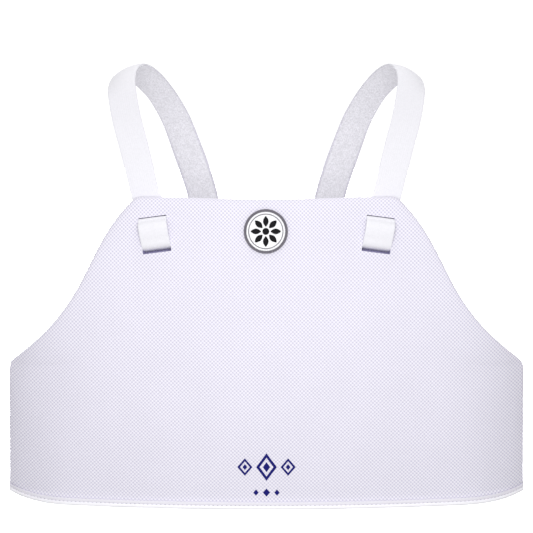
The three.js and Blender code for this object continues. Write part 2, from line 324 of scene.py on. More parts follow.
@dataclass(frozen=True)
class Finish:
    """A material: its real name, colour, roughness and relief. Sizes of patterns are in millimetres."""

    name: str
    colour: str
    roughness: float
    depth: float = 0.05 * MM
    bump: float = 0.25

    def material(self) -> Material:
        """The Blender material, made when the first piece asks for it."""
        return bpy.data.materials.get(self.name) or self.build()

    def build(self) -> Material:
        """Make the Blender material, with its pattern.

        Returns:
            The finished material.
        """
        material = bpy.data.materials.new(self.name)
        material.use_nodes = True
        tree = material.node_tree
        tree.nodes.clear()
        shader = put(tree, "ShaderNodeBsdfPrincipled", inputs={"Roughness": self.roughness})
        put(tree, "ShaderNodeOutputMaterial", inputs={"Surface": shader.outputs["BSDF"]})
        self.dress(tree, shader)
        return material

    def dress(self, tree: NodeTree, shader: Node) -> None:
        """Draw the pattern that each kind of finish has."""
        raise NotImplementedError

    def surface(self, tree: NodeTree, shader: Node, colour: NodeSocket, height: NodeSocket) -> None:
        """Give the shader its colour and its relief.

        Args:
            tree: The material's nodes.
            shader: The shader that gets them.
            colour: The pattern's colour.
            height: The pattern's height, about 0 to 1.
        """
        bump = put(tree, "ShaderNodeBump", inputs={
            "Strength": self.bump, "Distance": self.depth, "Height": height})
        tree.links.new(colour, shader.inputs["Base Color"])
        tree.links.new(bump.outputs[0], shader.inputs["Normal"])

    @staticmethod
    def cloth_place(tree: NodeTree) -> Node:
        """Read the cloth's flat place in millimetres, as separate X and Y."""
        flat = put(tree, "ShaderNodeUVMap", {"uv_map": CLOTH_MAP})
        return put(tree, "ShaderNodeSeparateXYZ", inputs={0: flat.outputs[0]})

    @staticmethod
    def wave(tree: NodeTree, coordinate: NodeSocket, period: float) -> NodeSocket:
        """Draw a cosine along one coordinate.

        Args:
            tree: The material's nodes.
            coordinate: The place, in millimetres.
            period: The distance from crest to crest, in millimetres.

        Returns:
            A number from -1 to 1.
        """
        turn = put(tree, "ShaderNodeMath", {"operation": "MULTIPLY"}, {0: coordinate, 1: math.tau / period})
        return put(tree, "ShaderNodeMath", {"operation": "COSINE"}, {0: turn.outputs[0]}).outputs[0]


@dataclass(frozen=True)
class MeshCloth(Finish):
    """Knitted polyester mesh over foam: rows of small round hollows set corner to corner, matt and pale, the
    hollows painted darker as the shade in them.
    """

    depth: float = 0.3 * MM
    bump: float = 0.45
    # Colour of the hollows: painted shade, darker than the threads
    hollow_shade: str = "#d4d1e4"
    period: float = 2.69
    slope: tuple[float, float] = (-0.75, 0.45)
    mottle: float = 38.0
    mottle_detail: float = 2.0
    mottle_tone: float = 0.03
    sheen: float = 0.12
    sheen_roughness: float = 0.6

    def dress(self, tree: NodeTree, shader: Node) -> None:
        """Paint the hollows darker as the shade in them, with a faint mottle from the knit's tension.

        Args:
            tree: The material's nodes.
            shader: The shader that they dress.
        """
        place = self.cloth_place(tree)
        across, along = (self.wave(tree, place.outputs[axis], self.period) for axis in (0, 1))
        cells = put(tree, "ShaderNodeMath", {"operation": "MULTIPLY"}, {0: across, 1: along})
        raised = put(tree, "ShaderNodeMapRange", {"interpolation_type": "SMOOTHSTEP"}, {
            "Value": cells.outputs[0], "From Min": self.slope[0], "From Max": self.slope[1]})
        # Threads pale, hollows painted darker as shade
        threads = put(tree, "ShaderNodeMix", {"data_type": "RGBA"}, {
            0: raised.outputs[0], 6: linear(self.hollow_shade), 7: linear(self.colour)})
        solid_place = put(tree, "ShaderNodeTexCoord")
        cloud = put(tree, "ShaderNodeTexNoise", inputs={
            "Vector": solid_place.outputs["Object"], "Scale": 1 / (self.mottle * MM),
            "Detail": self.mottle_detail})
        faint = put(tree, "ShaderNodeMapRange", inputs={
            "Value": cloud.outputs[0], "To Min": 1 - self.mottle_tone, "To Max": 1 + self.mottle_tone})
        toned = put(tree, "ShaderNodeVectorMath", {"operation": "SCALE"}, {
            0: threads.outputs[2], "Scale": faint.outputs[0]})
        shader.inputs["Sheen Weight"].default_value = self.sheen
        shader.inputs["Sheen Roughness"].default_value = self.sheen_roughness
        self.surface(tree, shader, toned.outputs[0], raised.outputs[0])


@dataclass(frozen=True)
class ElasticWebbing(Finish):
    """Woven elastic: fine ribs along the strip, crossed by weft rows, with a firmer edge on each side, painted
    darker as the shade of its rounded edge.
    """

    depth: float = 0.18 * MM
    bump: float = 0.3
    # Colour of a band along each edge: painted shade of the rounded edge
    edge_shade_colour: str = "#efeef5"
    rib: float = 1.5
    weft: float = 1.1
    half_width: float = 10.5
    edge: float = 1.3
    grain: float = 0.9
    speckle: float = 0.05
    sheen: float = 0.1

    def dress(self, tree: NodeTree, shader: Node) -> None:
        """Draw ribs, weft, speckle and painted shade along the edges; the real weave is finer, drawn as coarse
        as it needs to show.

        Args:
            tree: The material's nodes.
            shader: The shader that they dress.
        """
        place = self.cloth_place(tree)
        rib = self.wave(tree, place.outputs[0], self.rib)
        weft = self.wave(tree, place.outputs[1], self.weft)
        woven = put(tree, "ShaderNodeMath", {"operation": "MULTIPLY_ADD"}, {0: rib, 1: weft, 2: rib})
        # Two waves of height one make a weave from -2 to 2
        raised = put(tree, "ShaderNodeMapRange", inputs={
            "Value": woven.outputs[0], "From Min": -2.0, "From Max": 2.0})
        flat = put(tree, "ShaderNodeUVMap", {"uv_map": CLOTH_MAP})
        grain = put(tree, "ShaderNodeTexVoronoi", inputs={"Vector": flat.outputs[0], "Scale": 1 / self.grain})
        dark = put(tree, "ShaderNodeMapRange", inputs={
            "Value": grain.outputs["Color"], "To Min": 1 - self.speckle, "To Max": 1.0})
        from_middle = put(tree, "ShaderNodeMath", {"operation": "ABSOLUTE"}, {0: place.outputs[0]})
        at_edge = put(tree, "ShaderNodeMapRange", {"interpolation_type": "SMOOTHSTEP"}, {
            "Value": from_middle.outputs[0], "From Min": self.half_width - self.edge,
            "From Max": self.half_width})
        # A band along each edge painted darker, as the shade of the rounded edge
        base = put(tree, "ShaderNodeMix", {"data_type": "RGBA"}, {
            0: at_edge.outputs[0], 6: linear(self.colour), 7: linear(self.edge_shade_colour)})
        toned = put(tree, "ShaderNodeVectorMath", {"operation": "SCALE"}, {
            0: base.outputs[2], "Scale": dark.outputs[0]})
        shader.inputs["Sheen Weight"].default_value = self.sheen
        self.surface(tree, shader, toned.outputs[0], raised.outputs[0])


@dataclass(frozen=True)
class BindingTape(Finish):
    """Plain-woven polyester tape: a close even weave, with a painted highlight that whitens it from its rolled
    edge on.
    """

    depth: float = 0.08 * MM
    bump: float = 0.3
    shade: str = "#f5f2fc"
    thread: float = 0.9
    thread_tone: float = 0.35
    # Painted highlight: where along the fold it starts and where it is full, in millimetres, and how far it
    # whitens
    roll: tuple[float, float] = (2.8, 3.4)
    roll_highlight: float = 0.8

    def dress(self, tree: NodeTree, shader: Node) -> None:
        """Draw the weave, coarser than the real one so that it shows, and the painted highlight on the roll.

        Args:
            tree: The material's nodes.
            shader: The shader that they dress.
        """
        place = self.cloth_place(tree)
        warp, weft = (self.wave(tree, place.outputs[axis], self.thread) for axis in (0, 1))
        woven = put(tree, "ShaderNodeMath", {"operation": "MULTIPLY"}, {0: warp, 1: weft})
        raised = put(tree, "ShaderNodeMapRange", inputs={"Value": woven.outputs[0], "From Min": -1.0})
        # Painted highlight on the roll
        highlit = put(tree, "ShaderNodeMapRange", {"interpolation_type": "SMOOTHSTEP"}, {
            "Value": place.outputs[1], "From Min": self.roll[0], "From Max": self.roll[1],
            "To Max": self.roll_highlight})
        pale = put(tree, "ShaderNodeMath", {"operation": "MULTIPLY_ADD", "use_clamp": True}, {
            0: raised.outputs[0], 1: self.thread_tone, 2: highlit.outputs[0]})
        toned = put(tree, "ShaderNodeMix", {"data_type": "RGBA"}, {
            0: pale.outputs[0], 6: linear(self.shade), 7: linear(self.colour)})
        self.surface(tree, shader, toned.outputs[2], raised.outputs[0])


@dataclass(frozen=True)
class Grained(Finish):
    """A moulded, foamed or spun surface: a colour broken up by a fine grain, some under a clear skin."""

    shade: str = "#808080"
    grain: float = 0.6
    grain_detail: float = 3.0
    shine: float = 0.5
    coat: float = 0.0

    def dress(self, tree: NodeTree, shader: Node) -> None:
        """Draw the grain in colour and relief.

        Args:
            tree: The material's nodes.
            shader: The shader that they dress.
        """
        place = put(tree, "ShaderNodeTexCoord")
        grain = put(tree, "ShaderNodeTexNoise", inputs={
            "Vector": place.outputs["Object"], "Scale": 1 / (self.grain * MM), "Detail": self.grain_detail})
        toned = put(tree, "ShaderNodeMix", {"data_type": "RGBA"}, {
            0: grain.outputs[0], 6: linear(self.shade), 7: linear(self.colour)})
        shader.inputs["Specular IOR Level"].default_value = self.shine
        shader.inputs["Coat Weight"].default_value = self.coat
        self.surface(tree, shader, toned.outputs[2], grain.outputs[0])


@dataclass(frozen=True)
class StudioPaper(Finish):
    """Matt background paper in one colour, with a faint glow of its own."""

    glow: float = 0.05

    def dress(self, tree: NodeTree, shader: Node) -> None:
        """Paint the paper, which has no pattern.

        Args:
            tree: The material's nodes; not used here.
            shader: The shader that is set.
        """
        shader.inputs["Base Color"].default_value = linear(self.colour)
        shader.inputs["Emission Color"].default_value = linear("#ffffff")
        shader.inputs["Emission Strength"].default_value = self.glow


@dataclass(frozen=True)
class Wardrobe:
    """All the finishes of the protector and its studio."""

    # White knit with its hollows painted a darker lavender as shade, so that it reads as a field of pale
    # lavender dots
    cover: Finish = MeshCloth("knitted polyester mesh", "#f5f2fc", 0.85)
    # The same knit on the side against the body
    cover_back: Finish = replace(cover, name="knitted polyester mesh, back")
    # Lavender-grey foam, coloured darker than the cover as painted shade inside the slits, the only place
    # where it is seen
    core: Finish = Grained("cut EVA foam", "#aca7c8", 0.95, shade="#948fb2", grain=0.9)
    # Smooth white tape with a painted highlight along the rolled edge
    tape: Finish = BindingTape("woven polyester tape", "#fbfaff", 0.7)
    # Bright satin face of the elastic, with a touch of painted shade along its edges
    elastic_face: Finish = ElasticWebbing("woven elastic, face", "#f2f1f7", 0.6)
    # Duller speckled back of the elastic, with painted shade along its edges
    elastic_back: Finish = ElasticWebbing("woven elastic, back", "#f8f7fc", 0.85, edge_shade_colour="#e5e3ed",
                                          grain=0.8, speckle=0.25)
    # The same weave, wider
    band_face: Finish = replace(elastic_face, name="wide woven elastic, face", half_width=15.0)
    # Its duller back, with painted shade along its edges
    band_back: Finish = replace(elastic_back, name="wide woven elastic, back", half_width=15.0)
    # Twisted thread, painted greyer than the tape as the shade of the hem's furrow that it sits in
    thread: Finish = Grained("polyester sewing thread", "#aeaabd", 0.8, shade="#9591a6", grain=0.35)
    # White moulded field of the badge
    badge_field: Finish = Grained("soft PVC, white", "#f4f4f6", 0.45, shade="#e6e6ea", coat=0.2)
    # Grey rim with a dull sheen
    badge_rim: Finish = Grained("soft PVC, silver grey", "#84818a", 0.5, shade="#5e5b64", shine=0.3)
    # Black raised motif
    badge_motif: Finish = Grained("soft PVC, black", "#121116", 0.6, shade="#08070a", shine=0.12)
    # Thin navy film with a slight gloss
    film: Finish = Grained("polyurethane transfer film", "#17187c", 0.6, shade="#11125e", shine=0.15)
    # Even white ground that all but burns out
    paper: Finish = StudioPaper("matt white paper", "#f2f2f4", 0.95)


@dataclass(frozen=True)
class ChestCurve:
    """The curve that the panel is bent to, with places laid out flat as across and height."""

    thickness: float = 8.0 * MM
    front_radius: float = 520.0 * MM
    turn_at: float = 140.0 * MM
    side_radius: float = 95.0 * MM
    bulge_radius: float = 550.0 * MM

    def plan(self, across: float) -> tuple[float, float, float]:
        """Wrap a flat distance round the body, seen from above.

        Args:
            across: Distance along the cloth from the middle.

        Returns:
            The x and y there and the heading, in radians.
        """
        turn_length = self.front_radius * math.asin(self.turn_at / self.front_radius)
        run = abs(across)
        front = min(run, turn_length) / self.front_radius
        wrapped = front + max(run - turn_length, 0.0) / self.side_radius
        x = self.front_radius * math.sin(front) + self.side_radius * (math.sin(wrapped) - math.sin(front))
        y = self.front_radius * (1 - math.cos(front))
        y += self.side_radius * (math.cos(front) - math.cos(wrapped))
        return math.copysign(x, across), y, math.copysign(wrapped, across)

    def level(self, height: float) -> float:
        """How far in front of the bulge's centre a height lies."""
        return math.sqrt(self.bulge_radius**2 - height**2)

    def normal(self, across: float, height: float) -> Vector:
        """The outward direction at a flat place."""
        heading = self.plan(across)[2]
        upward = math.cos(heading) * height / self.level(height)
        return Vector((math.sin(heading), -math.cos(heading), upward)).normalized()

    def point(self, across: float, height: float, out: float = 0.0) -> Vector:
        """Find the place in space of a flat place.

        Args:
            across: Distance along the cloth from the middle.
            height: Height on the cloth.
            out: Distance in front of the panel's outer face.

        Returns:
            The point.
        """
        x, y, _ = self.plan(across)
        face = Vector((x, y + self.bulge_radius - self.level(height) - self.thickness, height))
        return face + out * self.normal(across, height)


class EdgeRow(NamedTuple):
    """One level of the panel's outline: half its width, its height and how the edge slants."""

    half: float
    height: float
    slant: float


@dataclass(frozen=True)
class PanelOutline:
    """The panel's flat outline, right half, as knots and the pulls between them."""

    foot: Vector = Vector((205.2, -134.0)) * MM
    under_arm: Vector = Vector((202.8, -37.5)) * MM
    under_arm_corner: Vector = Vector((202.8, -32.2)) * MM
    armhole_low: Vector = Vector((198.0, -29.6)) * MM
    armhole_low_pull: Vector = Vector((126.3, 10.4)) * MM
    armhole_high_pull: Vector = Vector((138.8, 48.4)) * MM
    armhole_high: Vector = Vector((98.5, 88.6)) * MM
    top_corner: Vector = Vector((94.9, 92.2)) * MM
    top_end: Vector = Vector((90.6, 92.2)) * MM
    lift: float = 6.2 * MM
    lift_from: float = 150.0 * MM
    bow: float = 0.9 * MM
    # Heights of the side's rows over the foot in millimetres, close together at the hem
    side_rises: tuple[float, ...] = (0.0, 0.5, 1.3, 2.0, 2.8, 3.6, 4.4, 5.2, 6.2, 7.6, 9.5, 12.0, 15.0, 21.0,
                                     28.0, 35.0, 42.0, 49.0, 56.0, 63.0, 70.0, 77.0, 84.0, 90.5)
    corner_steps: int = 4
    armhole_steps: int = 26
    top_shares: tuple[float, ...] = (0.0, 0.2, 0.4, 0.6, 0.8, 0.93, 1.0)
    steepest: float = 1.8
    flattest_rise: float = 1e-4

    @staticmethod
    def bent(start: Vector, corner: Vector, end: Vector) -> tuple[Vector, Vector, Vector, Vector]:
        """A cubic curve's four points for a bend round one corner point."""
        return start, start.lerp(corner, 2 / 3), end.lerp(corner, 2 / 3), end

    def rows(self) -> list[EdgeRow]:
        """Walk the outline from the foot to the top.

        Returns:
            The panel's rows, lowest first.
        """
        side = self.under_arm.y - self.foot.y
        straight = [self.foot.lerp(self.under_arm, share) for share in even(0.0, 1.0, 4)]
        armhole = (self.armhole_low, self.armhole_low_pull, self.armhole_high_pull, self.armhole_high)
        stretches = [
            (straight, [rise * MM / side for rise in self.side_rises]),
            (self.bent(self.under_arm, self.under_arm_corner, self.armhole_low),
             even(0.0, 1.0, self.corner_steps + 1)[:-1]),
            (armhole, even(0.0, 1.0, self.armhole_steps + 1)[:-1]),
            (self.bent(self.armhole_high, self.top_corner, self.top_end), self.top_shares),
        ]
        rows = []
        for (a, b, c, d), shares in stretches:
            for t in shares:
                s = 1 - t
                point = a * s**3 + b * 3 * s * s * t + c * 3 * s * t * t + d * t**3
                travel = ((b - a) * s * s + (c - b) * 2 * s * t + (d - c) * t * t).normalized()
                slant = min(1 / max(travel.y, self.flattest_rise), self.steepest)
                rows.append(EdgeRow(point.x, point.y, slant))
        return rows

    def bottom(self, across: float) -> float:
        """Height of the bottom edge, which bows down a little and lifts at the corners."""
        past = max(abs(across) - self.lift_from, 0.0) / (self.foot.x - self.lift_from)
        return self.foot.y + self.lift * past * past - self.bow * (across / self.foot.x) ** 2


@dataclass(frozen=True)
class StrapSlits:
    """Where a shoulder strap goes through the panel: two slits, in the strap's own width and length."""

    curve: ChestCurve
    across: float = -80.4 * MM
    height: float = 65.8 * MM
    lean: float = math.radians(8.0)
    width: float = 20.9 * MM
    back_width: float = 19.6 * MM
    back_height: float = 2.0 * MM
    corner: float = 0.9 * MM
    middle_up: float = 10.8 * MM
    lower: tuple[float, float] = (-13.9 * MM, -8.6 * MM)
    upper: tuple[float, float] = (9.5 * MM, 12.1 * MM)

    def point(self, width: float, up: float, out: float) -> Vector:
        """The place in space of a place beside the right strap's middle."""
        across = self.across + width * math.cos(self.lean) - up * math.sin(self.lean)
        height = self.height + width * math.sin(self.lean) + up * math.cos(self.lean)
        return self.curve.point(across, height, out)

    def holds(self, across: float, height: float, margin: float) -> bool:
        """Whether a flat place lies on the sewn patch round the slits.

        Args:
            across: Distance along the cloth from the middle, on either side.
            height: Height on the cloth.
            margin: How far the patch reaches past the slits.

        Returns:
            True on the patch.
        """
        side, rise = -abs(across) - self.across, height - self.height
        width = side * math.cos(self.lean) + rise * math.sin(self.lean)
        up = rise * math.cos(self.lean) - side * math.sin(self.lean)
        low, high = self.lower[0] - margin, self.upper[1] + margin
        return abs(width) <= self.width / 2 + margin and low <= up <= high

    def cutters(self) -> BMesh:
        """Make the round-cornered blocks that cut the slits, narrower where the foam closes in.

        Returns:
            The blocks, two on each side, numbered as cut faces.
        """
        mesh = bmesh.new()
        for (low, high), middle in ((self.lower, -self.middle_up), (self.upper, self.middle_up)):
            block = bmesh.ops.create_cube(mesh, size=2.0)["verts"]
            edges = {edge for vert in block for edge in vert.link_edges}
            through = [edge for edge in edges if edge.verts[0].co.z * edge.verts[1].co.z < 0]
            for vert in block:
                x, y, z = vert.co
                # A block stands out of both faces by half the panel's thickness
                depth = 0.5 - z
                wide = self.width + (self.back_width - self.width) * depth
                front, back = (high if y > 0 else low), middle + y * self.back_height / 2
                up = front + (back - front) * depth
                vert.co = self.point(x * wide / 2, up, -depth * self.curve.thickness)
            bmesh.ops.bevel(mesh, geom=through, offset=self.corner, offset_type="OFFSET", affect="EDGES",
                            segments=3, profile=0.5, material=-1, clamp_overlap=True)
        other = bmesh.ops.duplicate(mesh, geom=mesh.verts[:] + mesh.edges[:] + mesh.faces[:])["geom"]
        verts = [part for part in other if isinstance(part, BMVert)]
        bmesh.ops.scale(mesh, vec=(-1, 1, 1), verts=verts)
        bmesh.ops.recalc_face_normals(mesh, faces=mesh.faces[:])
        for face in mesh.faces:
            face.material_index = Skin.CUT.value
        return mesh


@dataclass
class PaddedPanel:
    """The padded front: a foam-backed cover, puffed between its seams, with slits for the straps."""

    curve: ChestCurve
    outline: PanelOutline
    slits: StrapSlits
    neck_dip: float = 1.3 * MM
    neck_half: float = 65.0 * MM
    lift_fade: float = 50.0 * MM
    hem_leg: float = 4.2 * MM
    front_step: float = 0.42 * MM
    back_step: float = 3.4 * MM
    furrow: float = 1.1 * MM
    furrow_rise: tuple[float, float] = (1.6 * MM, 3.2 * MM)
    blend_front: float = 1.8 * MM
    blend_back: float = 10.0 * MM
    bottom_round: float = 1.6 * MM
    edge_round: float = 2.8 * MM
    edge_places: tuple[float, ...] = (4.0 * MM, 1.8 * MM, 0.5 * MM, 0.0)
    per_half: int = 32
    slack: float = 1.2 * MM
    slack_from_edge: tuple[float, float] = (4.0 * MM, 30.0 * MM)
    slit_pull: float = 0.6 * MM
    slit_margin: float = 2.0 * MM
    cover_depth: float = 1.92 * MM
    cover_facing: float = 0.5
    pressure: float = 4.0
    sim_frames: int = 20
    sharp: float = 38.0
    piece: Object | None = field(default=None, init=False)
    cover: BVHTree | None = field(default=None, init=False)

    def columns(self, row: EdgeRow) -> list[float]:
        """Places across one row, close together at the edges."""
        right = [row.half - place * row.slant for place in self.edge_places]
        inner = even(-right[0], right[0], 2 * self.per_half + 1)[1:-1]
        return [-place for place in reversed(right)] + inner + right

    def flat_height(self, row: EdgeRow, across: float) -> float:
        """Find a point's height, with the neck's dip and the bottom's lift.

        Args:
            row: The outline's row that it lies in.
            across: Distance along the cloth from the middle.

        Returns:
            The height on the cloth.
        """
        dip = self.neck_dip * max(1 - (across / self.neck_half) ** 2, 0.0)
        dip_share = smoothstep(row.height, self.outline.armhole_high_pull.y, self.outline.top_end.y)
        lift_share = 1 - smoothstep(row.height - self.outline.foot.y, 0.0, self.lift_fade)
        return row.height - dip * dip_share + (self.outline.bottom(across) - self.outline.foot.y) * lift_share

    def wrap(self, from_edge: float) -> float:
        """Find how much more cloth a rounded edge takes up than its flat width.

        Args:
            from_edge: Distance from the edge.

        Returns:
            The extra cloth between the flat face and there.
        """
        turned = math.asin(min(max(1 - from_edge / self.edge_round, 0.0), 1.0))
        return turned * (self.edge_round + self.curve.thickness / 2) / 2 - self.edge_round * math.sin(turned)

    def faces(self, across: float, height: float, rise: float, from_edge: float) -> tuple[float, float]:
        """Find how far out the cover and the back lie, before the edges are rounded.

        Args:
            across: Distance along the cloth from the middle.
            height: Height on the cloth.
            rise: Height over the foot.
            from_edge: Distance from the nearest side or the top.

        Returns:
            The cover's distance and the back's, from the panel's nominal outer face.
        """
        over_hem = rise - self.hem_leg - SEAM
        on_hem = 1 - smoothstep(over_hem, 0.0, self.blend_front)
        give = self.slack * smoothstep(from_edge, *self.slack_from_edge)
        if self.slits.holds(across, height, self.slit_margin):
            give = self.slit_pull
        furrow = self.furrow * (1 - smoothstep(rise, *self.furrow_rise))
        front = -self.front_step * on_hem - give * (1 - on_hem) - furrow
        back = self.back_step * (1 - smoothstep(over_hem, 0.0, self.blend_back)) - self.curve.thickness
        return front, back

    def spot(self, row: EdgeRow, across: float) -> SheetSpot:
        """Place one point of the panel's grid.

        Args:
            row: The outline's row that it lies in.
            across: Distance along the cloth from the middle.

        Returns:
            Its points on the cover and the back, and its flat place.
        """
        from_side, from_top = (row.half - abs(across)) / row.slant, self.outline.top_end.y - row.height
        height, rise = self.flat_height(row, across), row.height - self.outline.foot.y
        front, back = self.faces(across, height, rise, min(from_side, from_top))
        fullness = (round_edge(from_side, self.edge_round) * round_edge(from_top, self.edge_round)
                    * round_edge(rise, self.bottom_round))
        middle, half = (front + back) / 2, (front - back) / 2 * fullness
        beside = math.copysign(self.wrap(from_side) * row.slant, across)
        return SheetSpot(self.curve.point(across, height, middle + half),
                         self.curve.point(across, height, middle - half),
                         ((across + beside) / MM, (height + self.wrap(from_top)) / MM))

    def build(self, finishes: Wardrobe) -> list[Object]:
        """Build the panel, puff its cover, cut the slits and hang it on the frame.

        Args:
            finishes: The materials.

        Returns:
            The panel.
        """
        mesh = two_faced_sheet([[self.spot(row, across) for across in self.columns(row)]
                                for row in self.outline.rows()])
        # The cut faces take the foam, painted darker as the shade inside the slits
        specs = (finishes.cover, finishes.cover_back, finishes.core)
        self.piece = add_piece("padded_panel", mesh, [spec.material() for spec in specs])
        self.puff()
        self.cut_slits()
        self.cover = BVHTree.FromObject(self.piece, bpy.context.evaluated_depsgraph_get())
        settle(self.piece, Slot.MESH_CLOTH, "chest_panel")
        return [self.piece]

    def is_sewn(self, point: Vector, normal: Vector, flat: Vector) -> bool:
        """Whether a point of the cover is held by a seam or lies on the plate behind.

        Args:
            point: The point.
            normal: Its outward direction.
            flat: Its flat place, in millimetres.

        Returns:
            True where the cover can't swell.
        """
        across, height = flat.x * MM, flat.y * MM
        outwards = self.curve.normal(across, height)
        out = (point - self.curve.point(across, height)).dot(outwards)
        on_hem = height - self.outline.bottom(across) < self.hem_leg + self.blend_front
        return (out < -self.cover_depth or normal.dot(outwards) < self.cover_facing or on_hem
                or self.slits.holds(across, height, self.slit_margin))

    def puff(self) -> None:
        """Let the foam push the cover out between its seams, by cloth simulation."""
        data, scene = self.piece.data, bpy.context.scene
        flat = {}
        for loop, place in zip(data.loops, data.uv_layers[CLOTH_MAP].data):
            flat[loop.vertex_index] = place.uv.copy()
        start = [vert.co.copy() for vert in data.vertices]
        sewn = [vert.index for vert in data.vertices if self.is_sewn(vert.co, vert.normal, flat[vert.index])]
        group = self.piece.vertex_groups.new(name="sewn")
        group.add(sewn, 1.0, "REPLACE")
        cloth = self.piece.modifiers.new("puff", "CLOTH")
        cloth.settings.vertex_group_mass = group.name
        cloth.settings.use_pressure = True
        cloth.settings.uniform_pressure_force = self.pressure
        cloth.settings.effector_weights.gravity = 0.0
        cloth.collision_settings.use_collision = False
        cloth.point_cache.frame_start, cloth.point_cache.frame_end = 1, self.sim_frames
        for step in range(1, self.sim_frames + 1):
            scene.frame_set(step)
        swollen = self.piece.evaluated_get(bpy.context.evaluated_depsgraph_get())
        moves = [after.co - before for after, before in zip(swollen.data.vertices, start)]
        self.piece.modifiers.remove(cloth)
        self.piece.vertex_groups.remove(group)
        scene.frame_set(1)
        for vert, before, move in zip(data.vertices, start, moves):
            vert.co = before + (move if move.length <= self.slack else move.normalized() * self.slack)
        LOG.info("cover swelled by %.2f mm at most", max(move.length for move in moves) / MM)

    def cut_slits(self) -> None:
        """Smooth the panel once, cut its slits and stretch the knit round the sides."""
        smooth = self.piece.modifiers.new("smooth", "SUBSURF")
        smooth.levels = smooth.render_levels = 1
        blocks = add_piece("slit_blocks", self.slits.cutters(), list(self.piece.data.materials))
        cut = self.piece.modifiers.new("slits", "BOOLEAN")
        cut.operation, cut.solver, cut.object = "DIFFERENCE", "MANIFOLD", blocks
        depsgraph = bpy.context.evaluated_depsgraph_get()
        finished = bpy.data.meshes.new_from_object(self.piece.evaluated_get(depsgraph),
                                                   preserve_all_data_layers=True, depsgraph=depsgraph)
        self.piece.modifiers.clear()
        self.piece.data = finished
        bpy.data.objects.remove(blocks)
        shade(finished, self.sharp)
        for place in finished.uv_layers[CLOTH_MAP].data:
            place.uv.x = self.curve.plan(place.uv.x * MM)[0] / MM

    def cover_out(self, across: float, height: float) -> float:
        """Measure how far in front of the nominal face the finished cover lies.

        Args:
            across: Distance along the cloth from the middle.
            height: Height on the cloth.

        Returns:
            The distance, negative behind it.
        """
        normal = self.curve.normal(across, height)
        reach = self.curve.thickness / 2
        hit, _, _, distance = self.cover.ray_cast(self.curve.point(across, height, reach), -normal)
        return 0.0 if hit is None else reach - distance

    def lay_on(self, mesh: BMesh, across: float, height: float, bed: float) -> None:
        """Lay a flat shape on the finished cover.

        Args:
            mesh: The shape, flat in X and Y and thick in Z.
            across: How far from the panel's middle its origin goes.
            height: The height on the cloth that its origin goes to.
            bed: The gap under it.
        """
        for vert in mesh.verts:
            side, up = across + vert.co.x, height + vert.co.y
            vert.co = self.curve.point(side, up, self.cover_out(side, up) + bed + vert.co.z)


class StripStop(NamedTuple):
    """A stop on a strip's route: its middle, about where its width points, its arch and its spread."""

    point: Vector
    wide: Vector
    arch: float = 0.0
    spread: float = 1.0


class StripPlace(NamedTuple):
    """A stop squared to the strip's travel: its middle, two directions, half its width and its arch."""

    point: Vector
    across: Vector
    face: Vector
    half: float
    arch: float


@dataclass
class Webbing:
    """A flat strip of elastic along a route of stops."""

    width: float
    thickness: float
    stops: list[StripStop]
    crown: float = 0.12 * MM
    edge_round: float = 0.3
    shares: tuple[float, ...] = (-1.0, -0.9, -0.6, -0.3, 0.0, 0.3, 0.6, 0.9, 1.0)
    places: list[StripPlace] = field(init=False)
    reached: list[float] = field(init=False)

    def __post_init__(self) -> None:
        """Square each stop's directions to the strip's travel."""
        points = [stop.point for stop in self.stops]
        self.reached = lengths_along(points)
        self.places = []
        for order, stop in enumerate(self.stops):
            travel = Vector()
            for start, end in pairwise(points[max(order - 1, 0) : order + 2]):
                travel += (end - start).normalized()
            travel.normalize()
            across = (stop.wide - travel * stop.wide.dot(travel)).normalized()
            self.places.append(StripPlace(stop.point, across, across.cross(travel),
                                          self.width / 2 * stop.spread, self.crown + stop.arch))

    @property
    def length(self) -> float:
        """The strip's length along its middle."""
        return self.reached[-1]

    def at(self, along: float, width: float, out: float) -> tuple[Vector, Vector]:
        """Find a place on the strip.

        Args:
            along: Distance from its start.
            width: Distance from its middle line.
            out: Distance in front of its middle layer.

        Returns:
            The point and the outward direction there.
        """
        order, share = stretch_at(self.reached, along)
        start, end = self.places[order : order + 2]
        face = start.face.lerp(end.face, share).normalized()
        across = start.across.lerp(end.across, share)
        return start.point.lerp(end.point, share) + across * width + face * out, face

    def on_line(self, start: Vector, end: Vector, out: float, run: float) -> tuple[Vector, Vector]:
        """Find a place on a straight line drawn on the strip.

        Args:
            start: The line's start, as length along the strip and distance from its middle line.
            end: Its end, likewise.
            out: Distance in front of the strip's middle layer.
            run: The length along the line.

        Returns:
            The point and the outward direction there.
        """
        spot = start.lerp(end, run / (end - start).length)
        return self.at(spot.x, spot.y, out)

    def spot(self, place: StripPlace, along: float, share: float) -> SheetSpot:
        """Place one point of the strip's grid.

        Args:
            place: The stop that it lies at.
            along: The length along the strip there.
            share: Its place across, from -1 at one edge to 1 at the other.

        Returns:
            Its points on the two faces, and its flat place.
        """
        aside = share * place.half
        outer, inner = (
            place.point + place.across * aside + place.face * (side - place.arch * share * share)
            for side in (self.thickness / 2, -self.thickness / 2))
        return SheetSpot(outer, inner, (aside / MM, along / MM))

    def mesh(self) -> BMesh:
        """Weave the strip: two faces, a little crowned, with rounded edges.

        Returns:
            The strip.
        """
        mesh = two_faced_sheet([[self.spot(place, along, share) for share in self.shares]
                                for place, along in zip(self.places, self.reached)])
        walls = {face for face in mesh.faces if face.material_index == Skin.CUT.value}
        rims = [edge for edge in mesh.edges if len(walls.intersection(edge.link_faces)) == 1]
        bmesh.ops.bevel(mesh, geom=rims, offset=self.edge_round * self.thickness, offset_type="OFFSET",
                        affect="EDGES", segments=2, profile=0.5, material=-1, clamp_overlap=True)
        return mesh


